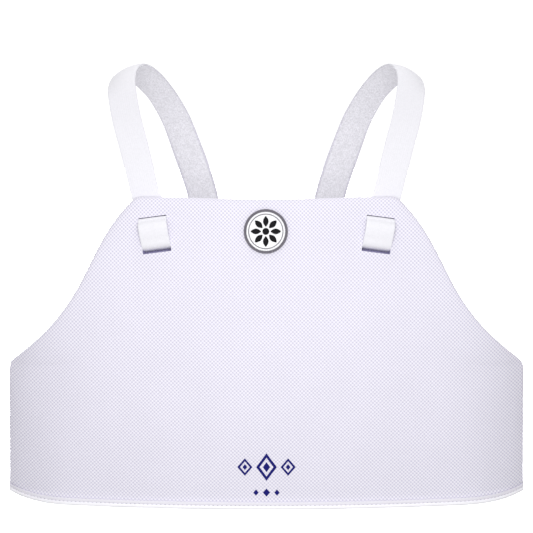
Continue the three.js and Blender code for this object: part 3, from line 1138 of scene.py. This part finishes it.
@dataclass
class Stitching:
    """Rows of thread, one short rounded stitch after another."""

    pitch: float = 3.2 * MM
    stitch: float = 2.5 * MM
    thread: float = 0.5 * MM
    mesh: BMesh = field(default_factory=bmesh.new)

    def row(self, place: Callable[[float], tuple[Vector, Vector]], length: float) -> None:
        """Sew one row.

        Args:
            place: Gives a point on the cloth and its outward direction from the length so far.
            length: The row's length.
        """
        count = max(1, int(length / self.pitch))
        for order in range(count):
            middle = length * (order + 0.5) / count
            point, face = place(middle)
            start, _ = place(middle - self.stitch / 2)
            end, _ = place(middle + self.stitch / 2)
            travel = (end - start).normalized()
            across = face.cross(travel).normalized()
            turned = Matrix((travel, across, travel.cross(across))).transposed().to_4x4()
            sized = Matrix.Diagonal((self.stitch / 2, self.thread / 2, self.thread / 2, 1.0))
            bmesh.ops.create_uvsphere(self.mesh, u_segments=8, v_segments=5, radius=1.0,
                                      matrix=Matrix.Translation(point) @ turned @ sized)

    def on_strip(self, strip: Webbing, start: tuple[float, float], end: tuple[float, float],
                 out: float) -> None:
        """Sew a straight row on a strip.

        Args:
            strip: The strip.
            start: Where it starts, as length along the strip and distance from its middle line.
            end: Where it ends, likewise.
            out: Height of the thread's middle over the strip's middle layer.
        """
        first, last = Vector(start), Vector(end)
        self.row(partial(strip.on_line, first, last, out), (last - first).length)

    def box(self, strip: Webbing, low: float, high: float, half: float, out: float) -> None:
        """Sew a crossed box on a strip.

        Args:
            strip: The strip.
            low: Where the box starts along the strip.
            high: Where it ends.
            half: Half the box's width.
            out: Height of the thread over the strip's middle layer.
        """
        corners = [(low, -half), (high, -half), (high, half), (low, half), (low, -half)]
        for start, end in [*pairwise(corners), (corners[0], corners[2]), (corners[1], corners[3])]:
            self.on_strip(strip, start, end, out)


def hang_elastic(node: str, meshes: Sequence[BMesh], materials: Sequence[Material],
                 panel: Object) -> list[Object]:
    """Dress an elastic strip and its stitches, and hang both on the frame.

    Args:
        node: The CAD node that the strip stands for.
        meshes: The strip's shape and its stitches'.
        materials: The strip's face, its back and the thread.
        panel: The panel that it rests on; not used.

    Returns:
        The strip and its stitches.
    """
    face, back, thread = materials
    webbing = settle(add_piece(f"{node}_webbing", meshes[0], [face, back, face]), Slot.ELASTIC, node)
    sewing = settle(add_piece(f"{node}_stitches", meshes[1], [thread]), Slot.ELASTIC)
    return [webbing, sewing]


@dataclass
class HemTape:
    """The tape folded round the panel's bottom edge, drawn in along its row of stitches."""

    panel: PaddedPanel
    thickness: float = 0.45 * MM
    # The fold's outer line in millimetres: distance out, height over the panel's bottom edge
    fold: tuple[tuple[float, float], ...] = (
        (0.1, 4.2), (0.06, 3.5), (-0.1, 2.6), (-0.38, 1.95), (-0.85, 1.35), (-0.32, 0.75), (0.2, 0.1),
        (0.15, -0.6), (-0.6, -1.35), (-1.7, -1.7), (-3.0, -1.75), (-4.3, -1.7), (-5.5, -1.35), (-6.1, -0.6),
        (-6.15, 0.1), (-5.65, 0.75), (-5.16, 1.35), (-5.3, 2.6), (-5.2, 4.1))
    fold_step: float = 0.5 * MM
    middle_out: float = -2.5 * MM
    end_round: float = 2.8 * MM
    end_share: float = 0.2
    end_places: tuple[float, ...] = (0.0, 0.25 * MM, 0.6 * MM)
    pitch: float = 3.2 * MM
    per_pitch: int = 3
    stitch: float = 2.8 * MM
    thread: float = 0.8 * MM
    stitch_up: float = 1.35 * MM
    stitch_out: float = 0.2 * MM
    stitch_margin: float = 2.0 * MM
    pucker: float = 0.12 * MM
    pucker_reach: float = 0.8 * MM

    @property
    def half(self) -> float:
        """Half the tape's length."""
        return self.panel.outline.foot.x

    def section(self) -> list[Vector]:
        """The fold's outer line, as distance out and height over the bottom edge."""
        return spline([Vector((out, up, 0)) * MM for out, up in self.fold], self.fold_step)

    def point(self, across: float, up: float, out: float) -> Vector:
        """Find the place in space of a place on the fold, which narrows at its ends.

        Args:
            across: Distance along the cloth from the middle.
            up: Height over the panel's bottom edge.
            out: Distance in front of the panel's outer face.

        Returns:
            The point.
        """
        full = max(round_edge(self.half - abs(across), self.end_round), self.end_share)
        height = self.panel.outline.bottom(across) + (up * full if up < 0 else up)
        return self.panel.curve.point(across, height, self.middle_out + (out - self.middle_out) * full)

    def row_spots(self, line: Sequence[Vector], order: int, length: float,
                  places: Sequence[float]) -> list[SheetSpot]:
        """Place one row of the tape's grid, puckered between its stitches.

        Args:
            line: The fold's outer line.
            order: The number of the row's point on it.
            length: The length along the fold there.
            places: The distances along the cloth from the middle.

        Returns:
            The row.
        """
        ahead = line[min(order + 1, len(line) - 1)] - line[max(order - 1, 0)]
        inwards = Vector((-ahead.y, ahead.x, 0)).normalized()
        near = math.exp(-(((line[order].y - self.stitch_up) / self.pucker_reach) ** 2))
        spots = []
        for across in places:
            puff = self.pucker * near * math.cos(math.tau * (across + self.half) / self.pitch)
            outer, inner = (line[order] + inwards * depth for depth in (-puff, self.thickness - puff))
            spots.append(SheetSpot(self.point(across, outer.y, outer.x), self.point(across, inner.y, inner.x),
                                   (across / MM, length / MM)))
        return spots

    def stitch_place(self, on_front: bool, run: float) -> tuple[Vector, Vector]:
        """Find a place on the row of stitches on one face of the fold.

        Args:
            on_front: True for the outer face, False for the one against the body.
            run: The length along the row.

        Returns:
            The point and the outward direction there.
        """
        across = run - self.half + self.stitch_margin
        outs = [out * MM for out, up in self.fold if up * MM == self.stitch_up]
        out = max(outs) + self.stitch_out if on_front else min(outs) - self.stitch_out
        normal = self.panel.curve.normal(across, self.panel.outline.bottom(across))
        return self.point(across, self.stitch_up, out), normal if on_front else -normal

    def build(self, finishes: Wardrobe) -> list[Object]:
        """Fold the tape, sew it through and hang both on the frame.

        Args:
            finishes: The materials.

        Returns:
            The tape and its stitches.
        """
        line = self.section()
        reached = lengths_along(line)
        right = [self.half - place for place in reversed(self.end_places)]
        inner = even(-self.half, self.half, round(2 * self.half / self.pitch) * self.per_pitch + 1)[1:-1]
        places = [-place for place in reversed(right)] + inner + right
        mesh = two_faced_sheet([self.row_spots(line, order, length, places)
                                for order, length in enumerate(reached)])
        tape = add_piece("hem_tape", mesh, [finishes.tape.material()] * 3)
        settle(tape, Slot.HEM_TAPE, "bottom_hem")
        sewing = Stitching(self.pitch, self.stitch, self.thread)
        for on_front in (True, False):
            sewing.row(partial(self.stitch_place, on_front), 2 * (self.half - self.stitch_margin))
        thread = settle(add_piece("hem_stitches", sewing.mesh, [finishes.thread.material()]), Slot.HEM_TAPE)
        return [tape, thread]


@dataclass
class SlitWalk:
    """A strap's way through the slits, by heights beside them and distances in front of the panel's face."""

    slits: StrapSlits
    lean_from: float
    lean: float
    spacing: float
    bend_stops: int = 8
    stops: list[StripStop] = field(default_factory=list)

    def add(self, up: float, out: float) -> None:
        """Add one stop, moved aside where the strap leans.

        Args:
            up: Height along the strap's length.
            out: Distance in front of the panel's outer face.
        """
        lean = self.lean if up > self.lean_from else 0.0
        shift = -lean * (up - self.lean_from)
        point = self.slits.point(shift, up, out)
        beside = self.slits.point(shift + MM, up + lean * MM, out)
        self.stops.append(StripStop(point, (beside - point).normalized()))

    def run(self, start: float, end: float, out: float) -> None:
        """Add the stops of a straight stretch.

        Args:
            start: The height that it starts at.
            end: The height that it ends at.
            out: Distance in front of the panel's outer face.
        """
        for up in even(start, end, max(2, round(abs(end - start) / self.spacing) + 1)):
            self.add(up, out)

    def bend(self, up: float, out: float, quarters: tuple[int, int], radius: float) -> None:
        """Add the stops inside a bend.

        Args:
            up: The height of its centre.
            out: Its centre's distance in front of the panel's outer face.
            quarters: Where it starts and ends, in quarter turns.
            radius: Its radius.
        """
        for quarter in even(*quarters, self.bend_stops)[1:-1]:
            angle = quarter * math.pi / 2
            self.add(up + radius * math.cos(angle), out + radius * math.sin(angle))


@dataclass
class ShoulderStrap:
    """A shoulder strap: out and in again through the slits, over the shoulder and down to the back band."""

    panel: PaddedPanel
    width: float = 21.0 * MM
    thickness: float = 1.6 * MM
    turn: float = 1.6 * MM
    low_turn: float = 6.2 * MM
    tail: float = 30.0 * MM
    above: float = 22.0 * MM
    lean_above: float = 0.28
    bow: float = 2.8 * MM
    # Makes the bow's lopsided curve one at its top
    bow_gain: float = 2.6
    bow_stops: int = 9
    roll: float = 0.11
    crest_roll: float = 0.32
    crest_arch: float = 2.0 * MM
    crest: tuple[float, float] = (155.0 * MM, 178.0 * MM)
    settled_at: float = 0.25
    slack_spread: float = 0.10
    slack_below: tuple[float, float] = (95.0 * MM, 160.0 * MM)
    slack_behind: float = 110.0 * MM
    spacing: float = 2.6 * MM
    sewn_box: float = 20.0 * MM
    sewn_inset: float = 2.4 * MM
    sewn_from_end: float = 2.5 * MM
    tail_rows: tuple[float, ...] = (3.0 * MM, 6.0 * MM)
    # The right strap's middle over the shoulder, as x, y and z in millimetres
    route: tuple[tuple[float, float, float], ...] = (
        (-86.5, 16.3, 91.5), (-91.5, 21.0, 111.0), (-96.0, 28.0, 128.0), (-101.0, 38.0, 145.0),
        (-105.0, 55.0, 162.5), (-106.4, 69.0, 171.2), (-105.6, 84.0, 177.2), (-102.0, 102.0, 180.2),
        (-96.4, 120.0, 177.8), (-89.3, 136.0, 171.0), (-82.0, 149.0, 161.4), (-76.0, 158.0, 151.5),
        (-69.0, 167.0, 137.5), (-62.2, 175.0, 118.7), (-55.7, 181.0, 99.7), (-49.2, 186.0, 77.6),
        (-37.5, 194.0, 10.0))
    # Its flat end on the band, likewise
    end: tuple[tuple[float, float, float], ...] = (
        (-24.68, 198.05, -57.0), (-20.0, 198.05, -83.0), (-17.66, 198.05, -96.0))

    def through_slits(self) -> list[StripStop]:
        """Walk the right strap from its end behind the panel, out and in again, to behind the panel's top.

        Returns:
            The stops.
        """
        slits = self.panel.slits
        outside = SEAM + self.thickness / 2
        inside = -slits.curve.thickness - outside
        run_in, run_out, low_out = inside + self.turn, outside - self.turn, outside - self.low_turn
        middle = slits.middle_up
        far, near, low = middle + self.turn, middle - self.turn, middle - self.low_turn
        walk = SlitWalk(slits, far, self.lean_above, self.spacing)
        walk.run(-far - self.tail, -far, inside)
        walk.bend(-far, run_in, (-1, 0), self.turn)
        walk.add(-middle, run_in)
        walk.add(-middle, low_out)
        walk.bend(-low, low_out, (2, 1), self.low_turn)
        for up in even(-low, near, self.bow_stops):
            share = (up + low) / (near + low)
            walk.add(up, outside + self.bow * self.bow_gain * share * math.sqrt(1 - share))
        walk.bend(near, run_out, (1, 0), self.turn)
        walk.add(middle, run_out)
        walk.add(middle, run_in)
        walk.bend(far, run_in, (2, 3), self.turn)
        walk.run(far, self.above, inside)
        return walk.stops

    def stops(self) -> list[StripStop]:
        """Walk the right strap from its end behind the panel to its end on the band.

        Returns:
            The stops, arched over the shoulder and spread where the strap hangs slack behind.
        """
        walked = self.through_slits()
        leaving = walked[-1]
        spots = [Vector(spot) * MM for spot in (*self.route, *self.end)]
        free = spline([leaving.point, *spots], self.spacing)
        for order, point in enumerate(free[1:], start=1):
            settled = smoothstep(order / (len(free) - 1), 0.0, self.settled_at)
            crest = smoothstep(point.z, *self.crest)
            level = Vector((1.0, 0.0, self.roll + self.crest_roll * crest))
            slack = 1 - smoothstep(point.z, *self.slack_below) if point.y > self.slack_behind else 0.0
            walked.append(StripStop(point, leaving.wide.lerp(level, settled), self.crest_arch * crest,
                                    1 + self.slack_spread * slack))
        return walked

    def build(self, finishes: Wardrobe) -> list[Object]:
        """Weave both straps, sew their ends and hang them on the frame.

        Args:
            finishes: The materials.

        Returns:
            The straps and their stitches.
        """
        strip = Webbing(self.width, self.thickness, self.stops())
        sewing = Stitching()
        half, out = self.width / 2 - self.sewn_inset, self.thickness / 2
        box_end = strip.length - self.sewn_from_end
        sewing.box(strip, box_end - self.sewn_box, box_end, half, out)
        for along in self.tail_rows:
            sewing.on_strip(strip, (along, -half), (along, half), -out)
        specs = (finishes.elastic_face, finishes.elastic_back, finishes.thread)
        materials = [spec.material() for spec in specs]
        pieces = []
        for side in Side:
            meshes = [turned_to(side, mesh) for mesh in (strip.mesh(), sewing.mesh.copy())]
            pieces += hang_elastic(f"strap_{side.value}", meshes, materials, self.panel.piece)
        return pieces


@dataclass
class BackBand:
    """The elastic band that closes the loop behind the wearer."""

    panel: PaddedPanel
    width: float = 30.0 * MM
    thickness: float = 1.8 * MM
    height: float = -83.0 * MM
    sewn: tuple[float, float] = (138.0 * MM, 170.0 * MM)
    sewn_stops: int = 3
    seam: float = 0.85 * MM
    upright: tuple[float, float] = (0.12, 0.4)
    spacing: float = 3.0 * MM
    box: float = 26.0 * MM
    box_inset: float = 3.0 * MM
    # Its right half behind the panel, as x and y in millimetres
    route: tuple[tuple[float, float], ...] = (
        (-177.0, 57.0), (-184.0, 92.0), (-173.0, 138.0), (-133.0, 177.0), (-80.0, 193.0), (-40.0, 196.0),
        (0.0, 196.0))

    def stops(self) -> list[StripStop]:
        """Walk the band from the panel's right side round the back to its left side.

        Returns:
            The stops, which lie along the panel at the ends and stand upright behind.
        """
        curve = self.panel.curve
        inside = -curve.thickness - self.seam - self.thickness / 2
        sewn = [curve.point(-across, self.height, inside) for across in even(*self.sewn, self.sewn_stops)]
        slope = (curve.point(-self.sewn[1], self.height + MM, inside) - sewn[-1]).normalized()
        half_way = sewn + [Vector((x * MM, y * MM, self.height)) for x, y in self.route]
        other_half = [Vector((-spot.x, spot.y, spot.z)) for spot in reversed(half_way[:-1])]
        walked = spline([*half_way, *other_half], self.spacing)
        stops = []
        for order, point in enumerate(walked):
            from_end = 1 - abs(2 * order / (len(walked) - 1) - 1)
            wide = slope.lerp(Vector((0.0, 0.0, 1.0)), smoothstep(from_end, *self.upright))
            stops.append(StripStop(point, wide))
        return stops

    def build(self, finishes: Wardrobe) -> list[Object]:
        """Weave the band, sew it to the panel and hang it on the frame.

        Args:
            finishes: The materials.

        Returns:
            The band and its stitches.
        """
        strip = Webbing(self.width, self.thickness, self.stops())
        sewing = Stitching()
        for low in (self.box_inset, strip.length - self.box_inset - self.box):
            sewing.box(strip, low, low + self.box, self.width / 2 - self.box_inset, -self.thickness / 2)
        specs = (finishes.band_face, finishes.band_back, finishes.thread)
        materials = [spec.material() for spec in specs]
        return hang_elastic("back_band", [strip.mesh(), sewing.mesh], materials, self.panel.piece)


@dataclass
class RoundBadge:
    """The round moulded badge: a raised rim, a thin inner ring and a plain eight-leaved rosette."""

    panel: PaddedPanel
    across: float = -0.5 * MM
    height: float = 67.8 * MM
    radius: float = 15.7 * MM
    thickness: float = 1.0 * MM
    bed: float = 0.06 * MM
    steps: int = 72
    field_shares: tuple[float, ...] = (0.66, 0.33, 0.0)
    rim_width: float = 1.9 * MM
    rim_rise: float = 0.6 * MM
    rim_round: float = 0.3 * MM
    groove_at: float = 1.1 * MM
    groove_half: float = 0.2 * MM
    groove_depth: float = 0.25 * MM
    relief: float = 0.35 * MM
    # How deep a raised part is sunk in the field
    sunk: float = 0.1 * MM
    ring: tuple[float, float] = (11.9 * MM, 12.5 * MM)
    ring_round: float = 0.1 * MM
    eye: float = 2.4 * MM
    eye_round: float = 0.15 * MM
    leaves: int = 8
    leaf: tuple[float, float] = (3.7 * MM, 2.0 * MM)
    leaf_at: float = 7.1 * MM
    leaf_pinch: float = 0.55
    leaf_slope: tuple[float, float] = (0.22 * MM, 0.1 * MM)
    sharp: float = 50.0

    def turned(self, mesh: BMesh, profile: Sequence[tuple[float, float]], part: BadgePart,
               closed: bool = False) -> None:
        """Spin a profile of radius and height round the badge's middle.

        Args:
            mesh: The badge so far.
            profile: Its points, in order.
            part: The part of the badge that it is.
            closed: True where the profile is a closed loop.
        """
        before = set(mesh.faces)
        verts = [mesh.verts.new((radius, 0.0, level)) for radius, level in profile]
        pairs = list(pairwise(verts)) + ([(verts[-1], verts[0])] if closed else [])
        edges = [mesh.edges.new(pair) for pair in pairs]
        bmesh.ops.spin(mesh, geom=verts + edges, cent=(0, 0, 0), axis=(0, 0, 1), angle=math.tau,
                       steps=self.steps, use_merge=True)
        bmesh.ops.remove_doubles(mesh, verts=mesh.verts[:], dist=TOUCHING)
        for face in set(mesh.faces) - before:
            face.material_index = part.value

    def add_leaf(self, mesh: BMesh, place: Matrix) -> None:
        """Raise one pointed leaf of the rosette.

        Args:
            mesh: The badge so far.
            place: Where the leaf's middle goes.
        """
        before = set(mesh.faces)
        long, wide = self.leaf
        disc = bmesh.ops.create_circle(mesh, cap_ends=True, segments=16, radius=1.0)["verts"]
        for vert in disc:
            pinch = 1 - self.leaf_pinch * vert.co.x**2
            vert.co = Vector((vert.co.x * long, vert.co.y * wide * pinch, 0.0))
        bmesh.ops.transform(mesh, matrix=place, verts=disc)
        grown = bmesh.ops.extrude_face_region(mesh, geom=[disc[0].link_faces[0]])["geom"]
        lid = next(part for part in grown if isinstance(part, BMFace))
        bmesh.ops.translate(mesh, vec=(0, 0, self.relief + self.sunk), verts=lid.verts[:])
        inset, rise = self.leaf_slope
        bmesh.ops.inset_region(mesh, faces=[lid], thickness=inset, depth=rise)
        for face in set(mesh.faces) - before:
            face.material_index = BadgePart.MOTIF.value

    def build(self, finishes: Wardrobe) -> list[Object]:
        """Mould the badge flat, lay it on the panel's cover and hang it on the frame.

        Args:
            finishes: The materials.

        Returns:
            The badge.
        """
        mesh = bmesh.new()
        face, edge, inner = self.thickness, self.radius, self.radius - self.rim_width
        top, raised, foot = face + self.rim_rise, face + self.relief, face - self.sunk
        soft, groove = self.rim_round, edge - self.groove_at
        disc = [(inner + self.sunk, face), *((inner * share, face) for share in self.field_shares)]
        rim = [(0.0, 0.0), (edge / 2, 0.0), (edge - soft, 0.0), (edge, soft), (edge, top - soft),
               (edge - soft, top), (groove + self.groove_half, top), (groove, top - self.groove_depth),
               (groove - self.groove_half, top), (inner + soft, top), (inner, top - soft), (inner, foot)]
        (low, high), bevel = self.ring, self.ring_round
        ring = [(low, foot), (low, raised - bevel), (low + bevel, raised), (high - bevel, raised),
                (high, raised - bevel), (high, foot)]
        eye = [(0.0, raised), (self.eye - self.eye_round, raised), (self.eye, raised - self.eye_round),
               (self.eye, foot)]
        self.turned(mesh, disc, BadgePart.FIELD)
        self.turned(mesh, rim, BadgePart.RIM)
        self.turned(mesh, ring, BadgePart.RIM, closed=True)
        self.turned(mesh, eye, BadgePart.MOTIF)
        for order in range(self.leaves):
            turn = Matrix.Rotation(math.tau * order / self.leaves, 4, "Z")
            self.add_leaf(mesh, turn @ Matrix.Translation((self.leaf_at, 0.0, foot)))
        bmesh.ops.recalc_face_normals(mesh, faces=mesh.faces[:])
        self.panel.lay_on(mesh, self.across, self.height, self.bed)
        specs = (finishes.badge_field, finishes.badge_rim, finishes.badge_motif)
        badge = add_piece("round_badge", mesh, [spec.material() for spec in specs], sharp=self.sharp)
        return [settle(badge, Slot.BADGE, "badge")]


class Lozenge(NamedTuple):
    """A lozenge of the printed mark in millimetres: its middle, half its sides, and a frame's width or 0."""

    across: float
    height: float
    wide: float
    tall: float
    border: float = 0.0


@dataclass
class PrintedMark:
    """A plain navy ornament of lozenges, low on the panel, in thin transfer film."""

    panel: PaddedPanel
    film: float = 0.12 * MM
    bed: float = 0.04 * MM
    # Those beside the middle are there on both sides
    lozenges: tuple[Lozenge, ...] = (
        Lozenge(0.0, -103.4, 7.4, 10.4, 1.9), Lozenge(15.6, -103.4, 5.4, 6.6, 1.4),
        Lozenge(0.0, -103.4, 2.6, 3.8), Lozenge(15.6, -103.4, 1.7, 2.2),
        Lozenge(0.0, -122.8, 2.6, 3.0), Lozenge(7.6, -122.8, 1.9, 2.4))

    @staticmethod
    def cut(mesh: BMesh, lozenge: Lozenge, across: float) -> None:
        """Cut one lozenge, solid or as a frame.

        Args:
            mesh: The film so far.
            lozenge: Its sizes.
            across: Its middle's distance from the panel's, in millimetres.
        """
        corners = bmesh.ops.create_circle(mesh, cap_ends=True, segments=4, radius=1.0)["verts"]
        bmesh.ops.scale(mesh, vec=(lozenge.wide * MM, lozenge.tall * MM, 1.0), verts=corners)
        bmesh.ops.translate(mesh, vec=(across * MM, lozenge.height * MM, 0.0), verts=corners)
        faces = [corners[0].link_faces[0]]
        if lozenge.border:
            ring = bmesh.ops.inset_region(mesh, faces=faces, thickness=lozenge.border * MM, use_boundary=True,
                                          use_even_offset=True)["faces"]
            bmesh.ops.delete(mesh, geom=faces, context="FACES_ONLY")
            faces = ring
        edges = list({edge for face in faces for edge in face.edges})
        bmesh.ops.subdivide_edges(mesh, edges=edges, cuts=3, use_grid_fill=True)

    def build(self, finishes: Wardrobe) -> list[Object]:
        """Cut the film flat, thicken it, lay it on the cover and hang it on the frame.

        Args:
            finishes: The materials.

        Returns:
            The print.
        """
        mesh = bmesh.new()
        for lozenge in self.lozenges:
            for across in sorted({-lozenge.across, lozenge.across}):
                self.cut(mesh, lozenge, across)
        bmesh.ops.recalc_face_normals(mesh, faces=mesh.faces[:])
        grown = bmesh.ops.extrude_face_region(mesh, geom=mesh.faces[:])["geom"]
        lifted = [part for part in grown if isinstance(part, BMVert)]
        bmesh.ops.translate(mesh, vec=(0.0, 0.0, self.film), verts=lifted)
        bmesh.ops.recalc_face_normals(mesh, faces=mesh.faces[:])
        self.panel.lay_on(mesh, 0.0, 0.0, self.bed)
        return [settle(add_piece("printed_mark", mesh, [finishes.film.material()]), Slot.MESH_CLOTH)]


class SoftLamp(NamedTuple):
    """A round soft lamp: where it is, what it points at, its size, power and spread."""

    name: str
    at: Vector
    aim: Vector
    size: float
    power: float
    spread: float


@dataclass(frozen=True)
class Studio:
    """The camera at the photograph's angle, soft light and a pale floor."""

    camera_at: Vector = Vector((0.0, -2.1479, 0.2681))
    camera_aim: Vector = Vector((0.0, 0.040, 0.0381))
    focal_pixels: float = 3023.7
    frame_pixels: float = 533.0
    sensor: float = 36.0
    floor_level: float = -0.32
    floor_half: float = 6.0
    key: SoftLamp = SoftLamp("key", Vector((0.0, -1.0, 0.22)), Vector((0.0, 0.02, 0.0)), 0.55, 5.9, math.pi)
    rear: SoftLamp = SoftLamp("rear_wash", Vector((0.0, 3.4, 2.4)), Vector((0.0, 3.6, -0.32)), 3.6, 330.0,
                              math.radians(100.0))
    # How bright the surround is on each side
    front: float = 0.485
    sides: float = 0.15
    back: float = 1.15
    top: float = 0.8
    bottom: float = 0.65
    # How fast it dims away from a side's middle
    falloff: float = 1.5

    @staticmethod
    def aimed(thing: Object, at: Vector, aim: Vector) -> None:
        """Put a camera or lamp somewhere and point it at a place.

        Args:
            thing: The camera or lamp.
            at: Where it goes.
            aim: What it points at.
        """
        thing.location = at
        thing.rotation_euler = (aim - at).to_track_quat("-Z", "Y").to_euler()
        bpy.context.scene.collection.objects.link(thing)

    def place_camera(self) -> None:
        """Add the camera and make it the scene's."""
        data = bpy.data.cameras.new("camera")
        data.sensor_width = self.sensor
        data.lens = self.focal_pixels * self.sensor / self.frame_pixels
        camera = bpy.data.objects.new("camera", data)
        self.aimed(camera, self.camera_at, self.camera_aim)
        bpy.context.scene.camera = camera

    def light(self) -> None:
        """Add the key, a wash on the floor behind, and a soft surround that is dimmer at the sides."""
        for lamp in (self.key, self.rear):
            data = bpy.data.lights.new(lamp.name, "AREA")
            data.shape, data.size, data.energy, data.spread = "DISK", lamp.size, lamp.power, lamp.spread
            shown = bpy.data.objects.new(lamp.name, data)
            shown.visible_camera = False
            self.aimed(shown, lamp.at, lamp.aim)
        world = bpy.data.worlds.new("surround")
        bpy.context.scene.world = world
        world.use_nodes = True
        tree = world.node_tree
        tree.nodes.clear()
        direction = put(tree, "ShaderNodeTexCoord")
        axis = put(tree, "ShaderNodeSeparateXYZ", inputs={0: direction.outputs["Generated"]})
        forward, upward = axis.outputs[1], axis.outputs[2]
        level: Any = self.sides
        for socket, sign, gain in (
                (forward, 1.0, self.back - self.sides), (forward, -1.0, self.front - self.sides),
                (upward, 1.0, self.top), (upward, -1.0, self.bottom)):
            facing = put(tree, "ShaderNodeMath", {"operation": "MULTIPLY", "use_clamp": True}, {
                0: socket, 1: sign})
            wide = put(tree, "ShaderNodeMath", {"operation": "POWER"}, {
                0: facing.outputs[0], 1: self.falloff})
            level = put(tree, "ShaderNodeMath", {"operation": "MULTIPLY_ADD"}, {
                0: wide.outputs[0], 1: gain, 2: level}).outputs[0]
        glow = put(tree, "ShaderNodeBackground", inputs={"Color": linear("#ffffff"), "Strength": level})
        put(tree, "ShaderNodeOutputWorld", inputs={"Surface": glow.outputs[0]})
        bpy.context.scene.view_settings.view_transform = "Standard"

    def lay_floor(self, paper: Finish) -> None:
        """Lay the pale floor, which throws no light back on the protector.

        Args:
            paper: Its finish.
        """
        mesh = bmesh.new()
        bmesh.ops.create_grid(mesh, x_segments=1, y_segments=1, size=self.floor_half)
        bmesh.ops.translate(mesh, vec=(0.0, 0.0, self.floor_level), verts=mesh.verts[:])
        floor = add_piece("floor", mesh, [paper.material()])
        floor.visible_diffuse = False


def main() -> None:
    """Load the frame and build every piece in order."""
    logging.basicConfig(level=logging.INFO, format="%(name)s: %(message)s")
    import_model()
    finishes = Wardrobe()
    studio = Studio()
    studio.place_camera()
    studio.light()
    studio.lay_floor(finishes.paper)

    curve = ChestCurve()
    panel = PaddedPanel(curve, PanelOutline(), StrapSlits(curve))
    for part in (panel, HemTape(panel), ShoulderStrap(panel), BackBand(panel), RoundBadge(panel),
                 PrintedMark(panel)):
        for piece in part.build(finishes):
            LOG.info("%s: %d faces", piece.name, len(piece.data.polygons))


if __name__ == "__main__":
    main()
